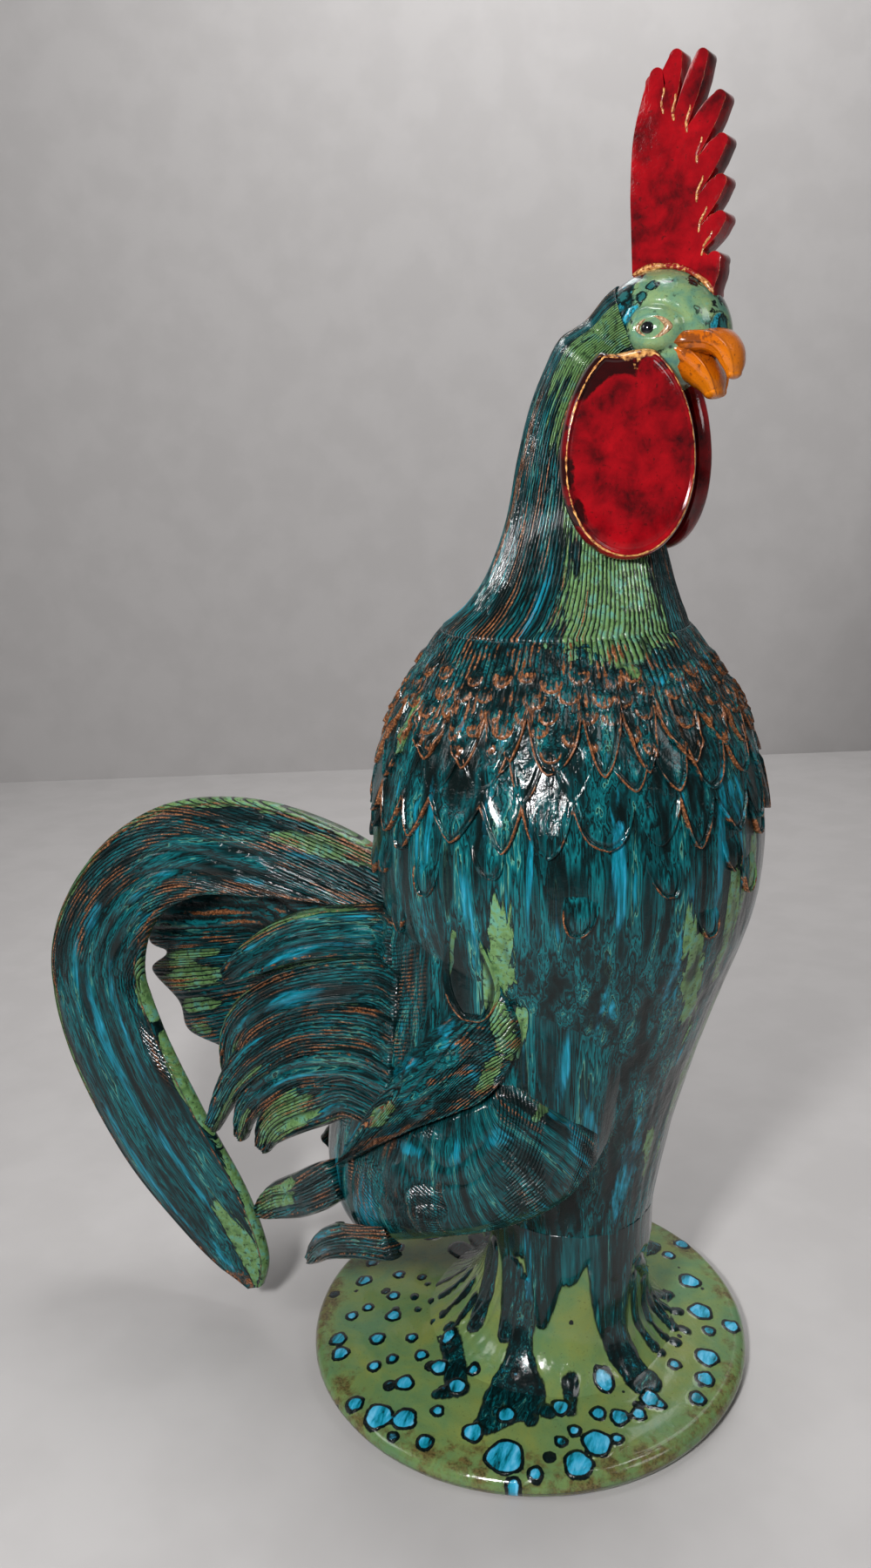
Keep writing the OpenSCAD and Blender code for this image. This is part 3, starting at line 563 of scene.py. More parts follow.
neck_shares = [[0, 0, 1], [0.05, 0.035, 0.86], [0.10, 0.085, 0.68], [0.16, 0.19, 0.42], [0.21, 0.38, 0.13],
               [0.27, 0.58, 0.01], [0.335, 0.71, -0.05], [0.455, 0.82, -0.07], [0.56, 0.893, -0.09],
               [0.67, 0.95, -0.22], [0.8, 0.975, -0.1]]
hood_t = wall * 0.55
# The hood leaves the neck at the first of these shares of its run, and hugs the head from the second
hood_shares = (0.82, 0.93)
neck_part = 0.93
neck_grooves = 140


def clear_head(p, off, force):
    """Points moved out of the head along lines from its middle, and where force is 1, put on it."""
    q = p - head_middle
    e = np.linalg.norm(q / (head_half + off), axis=-1, keepdims=True)
    pull = np.where(e < 1, 1, force)
    return head_middle + q * mix(1, 1 / e, pull)


def neck_lumps(across, along_y, z):
    """Cloudy lumps drawn out into tongues down the neck."""
    wide_lumps = clouds(across, along_y, z * 0.3, 20, 21)
    tongues = clouds(across, along_y, z * 0.08, 6, 27)
    return 0.7 * wide_lumps + 0.6 * tongues - 0.15


def neck_greens(side, z, lumps):
    """How far inside the neck's green runs a place lies, by its angle from ahead and its height."""
    middle = np.interp(z, [345, 395, 430, 470, 510, 530], [40, 48, 58, 84, 106, 112])
    band = 0.8 - np.abs(side - middle) / 32 + 1.1 * (lumps - 0.5) - 1.7 * step(394, 358, z)
    return np.maximum(band, 0.9 - np.hypot((z - 402) / 18, (side - 36) / 9))


def neck_blues(side, z):
    """How far inside the neck's three turquoise patches a place lies."""
    high = 1 - np.hypot((z - 498) / 24, (side - 78) / 12)
    low = 1 - np.hypot((z - 396) / 22, (side - 55) / 5)
    rear = 0.9 - np.hypot((z - 404) / 24, (side - 92) / 6)
    return np.maximum(high, np.maximum(low, rear))


def comb_wave(a, z):
    """How far the comb's lines on the neck wander sideways, in lines."""
    return 3 * clouds(30 * cos(a), 30 * sin(a), z * 0.35, 34, 12)


def neck():
    """The combed neck, which flares onto the shoulders and opens into a hood over the head."""
    obj, u, v = sheet("neck", 720, 108)
    a = 360 * u
    k = a + 180
    s, roll = spans(v, neck_part)
    knots = np.array(neck_shares)
    path = np.stack([body_x + knots[:, 0] * head_forward, neck_z + knots[:, 1] * neck_h,
                     mix(neck_r, body_r * body_shares[-1][1], knots[:, 2])], -1)
    here = along(path, s)
    ahead = along(path, np.minimum(s + 0.02, 1)) - along(path, np.maximum(s - 0.02, 0))
    level = step(468, 420, here[:, 1])[:, None]
    d = unit(unit(ahead[:, :2]) * (1 - level) + np.array([0, 1]) * level)
    x0, z0 = here[:, 0], here[:, 1]
    lines = a * neck_grooves / 360 + comb_wave(a, z0)
    combed = ridges(lines)
    across, along_y = 30 * cos(k), 30 * sin(k)
    lumps = neck_lumps(across, along_y, z0)
    filled = step(0.46, 0.60, lumps)
    locks = clouds(across, along_y, z0 * 0.10, 9, 23)
    depth = 0.85 * (1 - 0.6 * filled)
    free = step(neck_z - 1, neck_z + 9, z0)
    relief = mix(0.4, depth, free) * (combed - 1) + 1.6 * (locks - 0.6) * free
    r = here[:, 2] - wall * 0.6 * roll + relief
    p = np.stack([x0 + d[:, 1] * cos(k) * r, sin(k) * r, z0 - d[:, 0] * cos(k) * r], -1)
    thin = mix(hood_t, 0.9, step(hood_shares[0], 1.0, s))
    off = np.where(roll > 0, mix(0.9, -0.6, roll), thin + 0.8 * (combed - 1) * step(1, 0.9, s))
    p = clear_head(p, off[:, None], step(*hood_shares, s)[:, None])
    under = neck_z - 3.5
    p = np.where((s == 0)[:, None], around(a, body_r_at(under) - 1.0, under), p)
    side = np.abs(signed(k))
    green, blue = neck_greens(side, z0, lumps), neck_blues(side, z0)
    middle = np.interp(z0, [395, 430, 470, 510, 530], [46, 58, 84, 106, 112])
    brown = step(40, 75, side - middle + 30)
    cut = 1 - 0.7 * filled * step(0.4, 0.8, green)
    wrap(obj, p, grain=(across * 1.1, along_y * 1.1, z0 * 0.11), green=green, blue=blue, dip=0, copper=0,
         strokes=lines, cut=cut, worn=mix(0.05, 0.22, brown))
    return seat_piece(obj, neck_glaze, "neck_glaze", "neck")


# Head

eye_side = 81
eye_up = 4
head_middle = np.array([head_x, 0, head_z])
head_half = np.array([head_l, head_w, head_h])
# Dark blotches on the crown and blue on the cere, each a point and a radius
crown_places = [((52, -14, 533), 5), ((57, -17, 529), 5), ((60, -11, 535), 5), ((70, -17, 531), 3.2),
                ((84, -9, 531), 5), ((90, -9, 521), 5), ((82, -16, 522), 3), ((63, 14, 533), 6),
                ((80, 15, 528), 5), ((92, -3, 524), 5), ((88, 10, 520), 4), ((50, -19, 524), 6),
                ((48, -20, 514), 6), ((66, -20, 527), 3), ((76, -14, 531), 3), ((95, -8, 515), 5)]
cere_places = [((97, -12, 515), 8)]


def turned(p):
    """Points turned with the head about its upright axis."""
    x, y = p[..., 0] - head_x, p[..., 1]
    c, s = cos(head_turn), -sin(head_turn)
    return np.stack([head_x + x * c - y * s, x * s + y * c, p[..., 2]], -1)


def eye_middle(hand):
    """Where an eye lies on the head's egg: hand is -1 on the right and 1 on the left."""
    side = hand * eye_side
    d = np.array([cos(eye_up) * cos(side), cos(eye_up) * sin(side), sin(eye_up)])
    return turned(head_middle + d / np.linalg.norm(d / head_half))


def head():
    """The hollow head, with a heavy fold of clay round each eye."""
    obj, u, v = sheet("head", 200, 130)
    a, e = 360 * u, 180 * v
    chin = np.where(sin(a) < 0, 1 - 0.45 * np.clip(-cos(e), 0, 1), 1)
    throat = step(0.35, 0.9, -cos(e)) * step(0.1, -0.5, sin(a))
    d = np.stack([-cos(e) * (1 - 0.28 * throat), sin(e) * cos(a), sin(e) * sin(a) * chin], -1)
    p = head_middle + d * head_half
    height = 0.5 * (clouds(*p.T, 16, 4) - 0.5)
    fold = np.zeros(len(u))
    for hand in (-1, 1):
        q = p - eye_middle(hand)
        ahead = q @ np.array([cos(head_turn), -sin(head_turn), 0])
        above = q[:, 2]
        reach = np.hypot(ahead * mix(1, 0.75, step(-2, 6, ahead)), above * 1.05)
        near = np.linalg.norm(q, axis=-1) < 30
        swelling = 2.2 * (1 - step(5.5, 10.5, reach)) - 1.0 * hill(reach - 11, 1.6)
        socket = 1.5 * (1 - step(2.0, 5.5, np.hypot(ahead * 0.75 - 1, above * 1.5)))
        height = height + near * (swelling - socket)
        fold = np.maximum(fold, near * hill(reach - 11.5, 2.4) * step(4, -4, ahead + above * 0.4))
    p = p + unit(d) * height[:, None]
    back = step(-2, -16, p[:, 0] - head_x)
    cere = 1.4 * patch_3d(p, cere_places)
    blue = np.maximum(np.maximum(fold - 0.2, back * 0.5), cere)
    wrap(obj, p, green=0.9 - 1.4 * back, blue=blue, blotch=patch_3d(p, crown_places))
    return seat_piece(obj, head_glaze, "head_glaze", "head")


def patch_3d(p, places):
    """How deep inside the nearest of some round patches a point lies."""
    best = np.full(len(p), -1.0)
    for middle, reach in places:
        best = np.maximum(best, 1 - np.linalg.norm(p - np.array(middle), axis=-1) / reach)
    return best


def eye_frame(hand):
    """The eye's middle, and the ways out of the head, ahead and up."""
    out = unit(eye_middle(hand) - head_middle)
    up = unit(np.array([0, 0, 1.0]) - out * out[2])
    ahead = np.cross(up, out) * hand * -1
    ahead = ahead * np.sign(ahead[0])
    return eye_middle(hand), out, ahead, up


def eyeball(hand, name):
    """A black glazed ball set in the lids."""
    bpy.ops.object.select_all(action="DESELECT")
    bpy.ops.mesh.primitive_uv_sphere_add(segments=40, ring_count=24, radius=eye_r)
    obj = bpy.context.object
    obj.name = name
    obj.data.name = name
    q = points_of(obj)
    middle, out, ahead, up = eye_frame(hand)
    p = middle + q[:, :1] * ahead + q[:, 1:2] * up + (q[:, 2:] * 0.62 + 0.4) * out
    wrap(obj, p)
    return seat_piece(obj, eye_glaze, "eye_glaze", name)


def eyelids(hand, name):
    """An almond of rolled clay round the eye, with a pale inner corner."""
    obj, u, v = sheet(name, 90, 26)
    a, b = 360 * u, v
    middle, out, ahead, up = eye_frame(hand)
    long, tall, shift = eye_r * 2.35, eye_r * 1.5, eye_r * 0.85
    point = np.clip(cos(a), 0, 1) ** 3
    rim_x = long * cos(a) + shift
    rim_y = tall * sin(a) * (1 - 0.35 * point) * (1 - 0.25 * np.clip(-cos(a), 0, 1) ** 2)
    roll_r = eye_r * 0.36
    out_share = np.where(b < 0.5, 0, (b - 0.5) * 2)
    turn = np.where(b < 0.5, 1, cos(180 * out_share))
    bulge = np.where(b < 0.5, 0, sin(180 * out_share))
    scale = np.where(b < 0.5, b * 2 * (1 - roll_r / tall), 1 - roll_r / tall + roll_r / tall * (1 - turn))
    height = np.where(b < 0.5, 0.05, roll_r * 1.5 * bulge - 1.2 * out_share ** 6)
    rim_x = rim_x * scale + shift * (1 - scale) * 0.4
    p = middle + rim_x[:, None] * ahead + (rim_y * scale)[:, None] * up + (height + 0.3)[:, None] * out
    wrap(obj, p, pale=1 - step(0.42, 0.55, b))
    return seat_piece(obj, lid_glaze, "eyelid_clay", name)


# Beak: shares of beak_reach forward and down from the head's middle, then of beak_w and of its height

upper_beak_shares = [[0.2, 0.14, 1.55, 0.9], [0.5, 0.13, 1.58, 1.0], [0.72, 0.14, 1.25, 0.95],
                     [0.85, 0.23, 0.95, 0.85], [0.91, 0.37, 0.72, 0.7], [0.93, 0.5, 0.44, 0.44]]
lower_beak_shares = [[0.1, 0.14, 1.5, 0.9], [0.38, 0.22, 1.5, 1.05], [0.57, 0.37, 1.22, 1.0],
                     [0.68, 0.54, 0.95, 0.82], [0.73, 0.70, 0.58, 0.52]]
beak_h = beak_w * 0.3


def beak(name, shares, above, below, rim):
    """A modelled beak half: a ring across it slides from its root in the head to its rounded tip."""
    obj, u, v = sheet(name, 96, 90)
    a = 360 * u
    body_part = 0.86
    s = np.clip(v / body_part, 0, 1)
    tip = np.clip((v - body_part) / (1 - body_part), 0, 1)
    here = along(shares, s)
    ahead = along(shares, np.minimum(s + 0.03, 1)) - along(shares, np.maximum(s - 0.03, 0))
    d = unit(np.stack([ahead[:, 0], -ahead[:, 1]], -1))
    close = np.sqrt(np.clip(1 - tip ** 2, 0, 1))
    y, z = cos(a), sin(a)
    lift = np.where(z > 0, z * above, z * below)
    lift = lift + rim * hill(np.abs(y) - 0.93, 0.10) * (z > -0.4)
    w = here[:, 2] * beak_w / 2 * close
    h = here[:, 3] * beak_h * close * 1.3
    nose = tip * here[:, 3] * beak_h * 0.7
    x = here[:, 0] * beak_reach + d[:, 0] * nose - d[:, 1] * h * lift
    up = head_z - here[:, 1] * beak_reach + d[:, 1] * nose + d[:, 0] * h * lift
    p = turned(np.stack([head_x + x, w * y, up], -1))
    p = p + unit(p - np.array([head_x, 0, head_z - 8])) * (0.5 * (clouds(*p.T, 7, 6) - 0.5))[:, None]
    wrap(obj, p, tip=s)
    return seat_piece(obj, beak_glaze, "beak_glaze", name)


# Comb: its foot's front is comb_w forward; shares of comb_w along and comb_h up

comb_back_shares = [[0.03, 0.13], [0.009, 0.34], [0, 0.47], [0.02, 0.67], [0.1, 0.82], [0.13, 0.86]]
comb_tip_shares = [[0.25, 0.935], [0.44, 0.99], [0.72, 0.965], [0.92, 0.79], [0.95, 0.625], [0.95, 0.47],
                   [0.96, 0.325], [0.9, 0.175]]
comb_notch_shares = [[0.31, 0.77], [0.42, 0.735], [0.56, 0.68], [0.67, 0.55], [0.68, 0.4], [0.71, 0.28],
                     [0.75, 0.185], [0.87, 0.03]]
comb_x = -head_l * 0.45
comb_z = head_z + head_h * 0.5


def comb_point(share):
    """A point of the comb's outline, forward of the head's middle and up, from its shares."""
    return np.array([comb_x + share[0] * comb_w, comb_z + share[1] * comb_h])


def finger(before, tip, after):
    """The outline of one finger of the comb: up its back, round its tip and down its front."""
    round_r = comb_w * 0.068
    d = unit(tip - (before + after) / 2)
    c = tip - d * round_r
    side = np.array([-d[1], d[0]])
    back = [mix(before, c + side * round_r, t) + side * 1.5 * t * math.sin(math.pi * t)
            for t in (0.3, 0.6, 0.85)]
    top = [c + round_r * (d * cos(t) + side * sin(t)) for t in np.linspace(90, -90, 11)]
    front = [mix(c - side * round_r, after, t) - side * 1.3 * (1 - t) * math.sin(math.pi * t)
             for t in (0.25, 0.5, 0.75)]
    return back + top + front + [after]


def comb_bend(p):
    """Points of the comb's slab thinned toward its fingers, waved a little and turned with the head."""
    rise = np.clip((p[:, 2] - comb_z) / comb_h, 0, 1)
    ahead = (p[:, 0] - head_x - comb_x) / comb_w
    y = p[:, 1] * mix(1, 0.8, rise) + 2.0 * rise * np.sin(3.2 * ahead + 0.6)
    return turned(np.stack([p[:, 0], y, p[:, 2]], -1))


def clay_line(name, line, radius, seed):
    """A thin uneven line of bare clay laid along the comb."""
    line = np.array(line, float)
    obj, u, v = sheet(name, 12, 8 * len(line))
    here = along(line, v)
    d = unit(along(line, np.minimum(v + 0.03, 1)) - along(line, np.maximum(v - 0.03, 0)))
    side = unit(np.cross(d, np.array([0.05, 1.0, 0.1])))
    r = radius * np.sqrt(np.clip(1 - (2 * v - 1) ** 6, 0, 1)) * (0.4 + 1.2 * clouds(*here.T, 4, seed))
    p = here + r[:, None] * (cos(360 * u)[:, None] * side + sin(360 * u)[:, None] * np.cross(d, side))
    wrap(obj, comb_bend(p))
    return seat_piece(obj, arris_clay, "red_glaze")


def comb_lines():
    """Clay lines that run in from the comb's notches, and the ragged seam round its foot."""
    half = comb_t / 2
    for i, share in enumerate(comb_notch_shares[:-1]):
        x, z = comb_point(share)
        way = unit(np.array([comb_x + 0.3 * comb_w - x, comb_z - 0.2 * comb_h - z]))
        for hand, y in enumerate((-half, half)):
            line = [[head_x + x + way[0] * t + 0.5 * math.sin(0.7 * t), y, z + way[1] * t]
                    for t in range(-8, 4, 2)]
            clay_line("comb_line_%d_%d" % (i + 1, hand + 1), line, 0.5, i)
    for hand, y in enumerate((-half, half)):
        foot = []
        for x in np.linspace(head_l * 0.84, comb_x + comb_w * 0.03, 12):
            lift = head_h * math.sqrt(max(1 - (x / head_l) ** 2 - (half / head_w) ** 2, 0.02))
            foot.append([head_x + x, y, head_z + lift + 1.2])
        clay_line("comb_seam_%d" % (hand + 1), foot, 1.2, 9)


def comb():
    """The comb, cut from a slab, with its arrises rounded and rubbed bare of glaze."""
    notches = [comb_point(s) for s in comb_notch_shares]
    tips = [comb_point(s) for s in comb_tip_shares]
    outline = list(curve([comb_point(s) for s in comb_back_shares], 5))
    for i, tip in enumerate(tips):
        outline += finger(outline[-1] if i == 0 else notches[i - 1], tip, notches[i])
    for x in np.linspace(head_l * 0.84, comb_x + comb_w * 0.05, 12):
        outline.append(np.array([x, head_z + (head_h - 1.5) * math.sqrt(1 - (x / head_l) ** 2)]))
    outline = np.array(outline)
    flat = np.stack([head_x + outline[:, 0], 0 * outline[:, 0] - comb_t / 2, outline[:, 1]], -1)
    mesh = bpy.data.meshes.new("comb")
    mesh.from_pydata((flat * mm).tolist(), [], [list(range(len(flat)))])
    obj = bpy.data.objects.new("comb", mesh)
    bpy.context.collection.objects.link(obj)
    thicken = {"TRANSFORM_OT_translate": {"value": (0, comb_t * mm, 0)}}
    work_on(obj, (bpy.ops.mesh.extrude_region_move, thicken),
            (bpy.ops.mesh.normals_make_consistent, {"inside": False}))
    mesh.materials.append(red_glaze)
    mesh.materials.append(arris_clay)
    bevel = obj.modifiers.new("arris", "BEVEL")
    bevel.width = 1.2 * mm
    bevel.segments = 3
    bevel.limit_method = "ANGLE"
    bevel.angle_limit = math.radians(60)
    bevel.material = 1
    bpy.ops.object.modifier_apply(modifier="arris")
    move_points(obj, comb_bend(points_of(obj) / mm) * mm)
    bpy.ops.object.shade_smooth_by_angle(angle=math.radians(35))
    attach(obj, "root")
    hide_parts("comb")
    return obj


# Wattles: rounded slabs with a raised rim, whose flat tops lean in to the cheeks. Their section gives
# shares of the way out to the rim and of half the thickness, from the face's middle to the back's

wattle_drop = wattle_h * 0.53
wattle_side = head_w * 1.2
wattle_back = head_l * 0.24
wattle_section = [[0, 1.0], [0.3, 1.02], [0.6, 1.0], [0.80, 0.94], [0.87, 0.86], [0.905, 0.80],
                  [0.93, 0.92], [0.958, 0.9], [0.985, 0.6], [1, 0.2], [1, -0.3], [0.97, -0.8],
                  [0.9, -1], [0.5, -1], [0, -1]]


def wattle():
    """The right wattle and its twin."""
    obj, u, v = sheet("right_wattle", 200, 110)
    a = 360 * u
    section = along(wattle_section, v)
    reach = section[:, 0]
    x = reach * wattle_w / 2 * cos(a) * (1 - 0.1 * sin(a))
    z = reach * wattle_h / 2 * np.minimum(sin(a), 0.9 + 0.02 * np.sin(5 * x / 20))
    top = step(0.55, 0.95, sin(a) * reach)
    y = section[:, 1] * wattle_t / 2 - wattle_t * 0.55 * top * (section[:, 1] < 0)
    y = y + 0.7 * (clouds(x, z, 0 * x, 22, 3) - 0.5) * (section[:, 1] > 0)
    c, s = cos(wattle_splay), sin(wattle_splay)
    p = np.stack([head_x - wattle_back + x * c + y * s, x * s - y * c - wattle_side,
                  head_z - wattle_drop + z], -1)
    rim = hill(reach - 0.955, 0.015) * (section[:, 1] > 0)
    broken = np.maximum(top * 1.3, 0) * step(-1, 0.4, sin(a))
    dark = step(0.72, 0.9, reach) * step(0.3, -0.6, cos(a) + 0.1) + 0.9 * step(0.4, 0.8, z / (wattle_h / 2))
    wrap(obj, p, edge=0.9 * rim, seam=broken, dark=dark)
    seat_pair(obj, "wattle", wattle_glaze, "red_glaze", "wattle")


# Wings

wing_front = 91
wing_r = 105
panel_start, panel_end = 42, 121
panel_r = 115
wing_front_z = column_top_z + body_h * 0.43
wing_tip_z = rump_low_z + rump_span * 0.3
wing_upper = smooth([[0, 0.42], [0.06, 0.78], [0.18, 1], [0.4, 0.96], [0.65, 0.78], [0.85, 0.52],
                     [1, 0.24]])
wing_lower = smooth([[0, 0.4], [0.06, 0.76], [0.18, 0.98], [0.4, 0.92], [0.65, 0.76], [0.85, 0.52],
                     [1, 0.24]])


def wing_middle(s):
    """Height of the wing's middle line, where s runs from its front to its tip."""
    return mix(wing_front_z, wing_tip_z, np.maximum(s, 0) ** 1.7)


def wing_low_edge(a):
    """Height of the wing's lower edge at an angle."""
    s = np.clip((wing_front - a) / wing_sweep, 0, 1)
    return wing_middle(s) - wing_lower(s) * wing_w / 2


def wing():
    """The folded wing: its lower edge stands proud and combed, and its top melts into the rump."""
    obj, u, v = sheet("right_wing", 240, 150)
    w, face = folded(v)
    s = 1 - u
    t = 2 * w - 1
    half = np.where(t > 0, wing_upper(s), wing_lower(s)) * wing_w / 2
    a = wing_front - wing_sweep * s + 2.5 * (1 - t * t)
    z = wing_middle(s) + half * t
    length = s * wing_sweep * np.pi / 180 * wing_r
    width = half * t
    sway = 9 * (clouds(length, width, 0 * s, 26, 3) - 0.5) + 3 * (clouds(length, width, 0 * s, 9, 4) - 0.5)
    strokes = (length * mix(0.55, 0.2, step(0, 1, t)) + width + sway) / comb_tool_pitch
    near_edge = step(0.5, -0.5, t)
    cut = step(0.40, 0.52, clouds(length * 0.6, width, 0 * s, 13, 15) + 0.16 * near_edge)
    feather = ridges((length * 0.5 + width + 1.5 * sway + 4) / 13)
    proud = wing_t * 0.80 * mix(1, 0.3, step(-0.2, 1, t)) + 0.8
    fade = 1 - step(0.45, 1.0, t)
    foot = (t + 1) * half
    height = proud * mix(0.45, 1, step(0, 0.10, s)) * fade + 0.7 * hill(foot - 1.4, 1.2)
    height = height + (0.55 * cut * (ridges(strokes) - 1) + 1.7 * (feather - 1)) * fade - 0.9 * (1 - fade)
    height = height + 0.8 * (clouds(length, width, 0 * s, 12, 7) - 0.5) * fade
    ends = step(0, 0.03, s) * step(0, 0.03, 1 - s)
    height = mix(tuck, height - 2.2 * step(1.2, 0, foot), ends)
    height = np.where(face, height, tuck)
    green = patch(a, z, [(88.5, 226, 3.4, 14, -3), (86, 207, 2.4, 9, 2), (57, 176, 3, 7, 3)])
    blue = patch(a, z, [(72, 220, 4, 8, 0), (61, 200, 4, 6, 3), (50, 186, 3, 12, 0), (66, 172, 5, 4, 3),
                        (44, 160, 3, 14, 0), (82, 205, 3, 6, 0), (56, 216, 4, 10, 0)])
    # Darker just inside the raised lower edge and in the grooves between feathers: partly pooled glaze,
    # partly painted shade.
    dip = np.maximum(hill(foot - 3.2, 1.2), 0.85 * (1 - feather) ** 2)
    wrap(obj, on_skin(a, z, height), grain=(length * 0.3, width - length * 0.3, 0 * s), green=green,
         blue=blue, copper=0.45 * hill(foot - 1.2, 0.8) * ends, dip=dip, strokes=strokes, cut=cut * fade,
         worn=0.26)
    seat_pair(obj, "wing", wing_glaze, "wing_glaze", "wing")


def wing_panel():
    """The haunch below the wing, combed in arcs that swing down from the shoulder."""
    obj, u, v = sheet("right_wing_panel", 260, 116)
    w, face = folded(v)
    a = mix(panel_start, panel_end, u)
    low = rump_floor(a) + 1.2
    high = wing_low_edge(np.minimum(a, wing_front - 4)) + 3
    high = low + np.maximum(high - low, 6) * np.sqrt(np.clip((123 - a) / 32, 0.02, 1))
    z = mix(low, high, w)
    length = (a - panel_start) * np.pi / 180 * panel_r
    sway = 9 * (clouds(length, z, 0 * z, 24, 5) - 0.5)
    arc = np.hypot(length - 62, (z - 186) * 1.15) + sway
    straight = length * 0.5 + z + sway * 0.6
    left = step(52, 36, length) * step(168, 148, z)
    hatch = hill((length - 60) / 13, 1) * hill((z - 143) / 10, 1)
    strokes = mix(arc, straight, np.maximum(left, step(0.3, 0.5, hatch))) / comb_tool_pitch
    cut = step(0.46, 0.58, clouds(length, z * 0.6, 0 * z, 18, 25) + 0.35 * hatch)
    cut = cut * step(0, 0.12, w) * step(1, 0.9, w)
    swell = sin(180 * w) ** 0.5 * sin(180 * np.clip(u, 0, 1)) ** 0.5
    bands = ridges((arc + 1.6 * sway + 6) / 15)
    height = (wing_t - 2) * swell + 0.6 * cut * (ridges(strokes) - 1)
    height = height + 0.8 * (bands - 1) * step(0.1, 0.4, w) + 0.9 * (clouds(length, z, 0 * z, 14, 2) - 0.5)
    border = np.minimum(np.minimum(u, 1 - u) * 18, np.minimum(w * 9, (1 - w) * 12))
    height = np.where(face, mix(tuck, height, np.clip(border, 0, 1)), tuck)
    green = patch(a, z, [(69, 108, 5, 2.5, 0), (62, 103, 5, 2.0, 0), (101, 190, 2, 9, 4),
                         (98, 205, 2, 7, -2)])
    blue = patch(a, z, [(110, 168, 3, 22, -4), (104, 195, 2.5, 18, 2), (88, 176, 4, 6, 0),
                        (66, 165, 5, 4, 0), (52, 122, 6, 22, 0), (84, 118, 5, 10, 0),
                        (96, 130, 6, 12, 3), (78, 168, 2, 8, 0)])
    swung = length + 0.012 * (z - 120) ** 2 * step(60, 95, length)
    copper = 0.9 * step(0.035, 0.0, w) * step(46, 52, a) * step(112, 100, a)
    # Painted shadow along the panel's top under the wing's proud edge, and pooled glaze with painted shade
    # in the grooves between bands.
    dip = np.maximum(0.8 * step(0.78, 1, w), 0.5 * (1 - bands) ** 2)
    wrap(obj, on_skin(a, z, height), grain=(swung, 0 * z, z * 0.12), green=green, blue=blue, copper=copper,
         dip=dip, strokes=strokes, cut=cut, worn=0.16)
    seat_pair(obj, "wing_panel", wing_glaze, "wing_glaze", "wing_panel")


def scapular():
    """A pointed leaf above the wing's front, whose rim stands out in pale copper."""
    obj, u, v = sheet("right_scapular", 70, 80)
    w, face = folded(v)
    x = 2 * u - 1
    length, wide = 62, 27
    rise = length * w
    half = feather_half(w, wide, 2.4, 2.4) * mix(1, 0.35, step(0.3, 1, w))
    z = 227 + rise
    r = skin_r(80 + 0 * z, z)
    a = 80 - 3 * w + x * half / (r * np.pi / 180)
    edge = np.minimum((1 - np.abs(x)) * half, rise)
    fade = 1 - step(0.35, 0.9, w)
    rim = hill(edge - 0.8, 0.8) - 1.2 * hill(edge - 2.6, 1.2)
    height = mix(3.4, -1.2, step(0.1, 0.95, w)) + rim * fade ** 2
    height = np.where(face & (np.abs(x) < 0.97), height, tuck)
    green = patch(a, z, [(86, 250, 2.4, 26, 0), (74.5, 262, 0.9, 15, 2)])
    # Darker inside the rim and toward the leaf's rearward edge: partly pooled glaze, partly painted shade.
    wrap(obj, on_skin(a, z, height), green=green, blue=patch(a, z, [(82, 276, 1.6, 22, 0)]),
         copper=0.8 * hill(edge - 0.6, 0.7) * step(0.30, 0.10, w),
         dip=np.maximum(hill(edge - 2.8, 1.3), 0.8 * step(81, 78, a)) * fade, strokes=0, cut=0, worn=0)
    seat_pair(obj, "scapular", body_glaze, "body_glaze")


# Tail: points are shares of tail_reach back, up and to the side from its root on the body. The sickle's
# rows go on with shares for its half width and half thickness

tail_root_z = column_top_z + body_h * 0.545
tail_root_x = body_x - float(skin_r(0.0, tail_root_z))
sickle_shares = [[0, -0.015, 0.05, 0.088, 1], [0.19, 0.05, 0.06, 0.125, 1], [0.42, 0.085, 0.09, 0.15, 0.95],
                 [0.66, 0.066, 0.12, 0.146, 0.9], [0.86, -0.066, 0.15, 0.142, 0.9],
                 [0.975, -0.3, 0.17, 0.17, 0.9], [0.93, -0.56, 0.185, 0.19, 0.9],
                 [0.775, -0.85, 0.2, 0.188, 0.85], [0.6, -1.07, 0.215, 0.155, 0.75],
                 [0.49, -1.22, 0.225, 0.1, 0.6], [0.45, -1.31, 0.23, 0.03, 0.35]]


def tail_point(share):
    """Points of the tail from their shares."""
    share = np.asarray(share, float)
    return np.stack([tail_root_x - share[..., 0] * tail_reach, -share[..., 2] * tail_reach,
                     tail_root_z + share[..., 1] * tail_reach], -1)


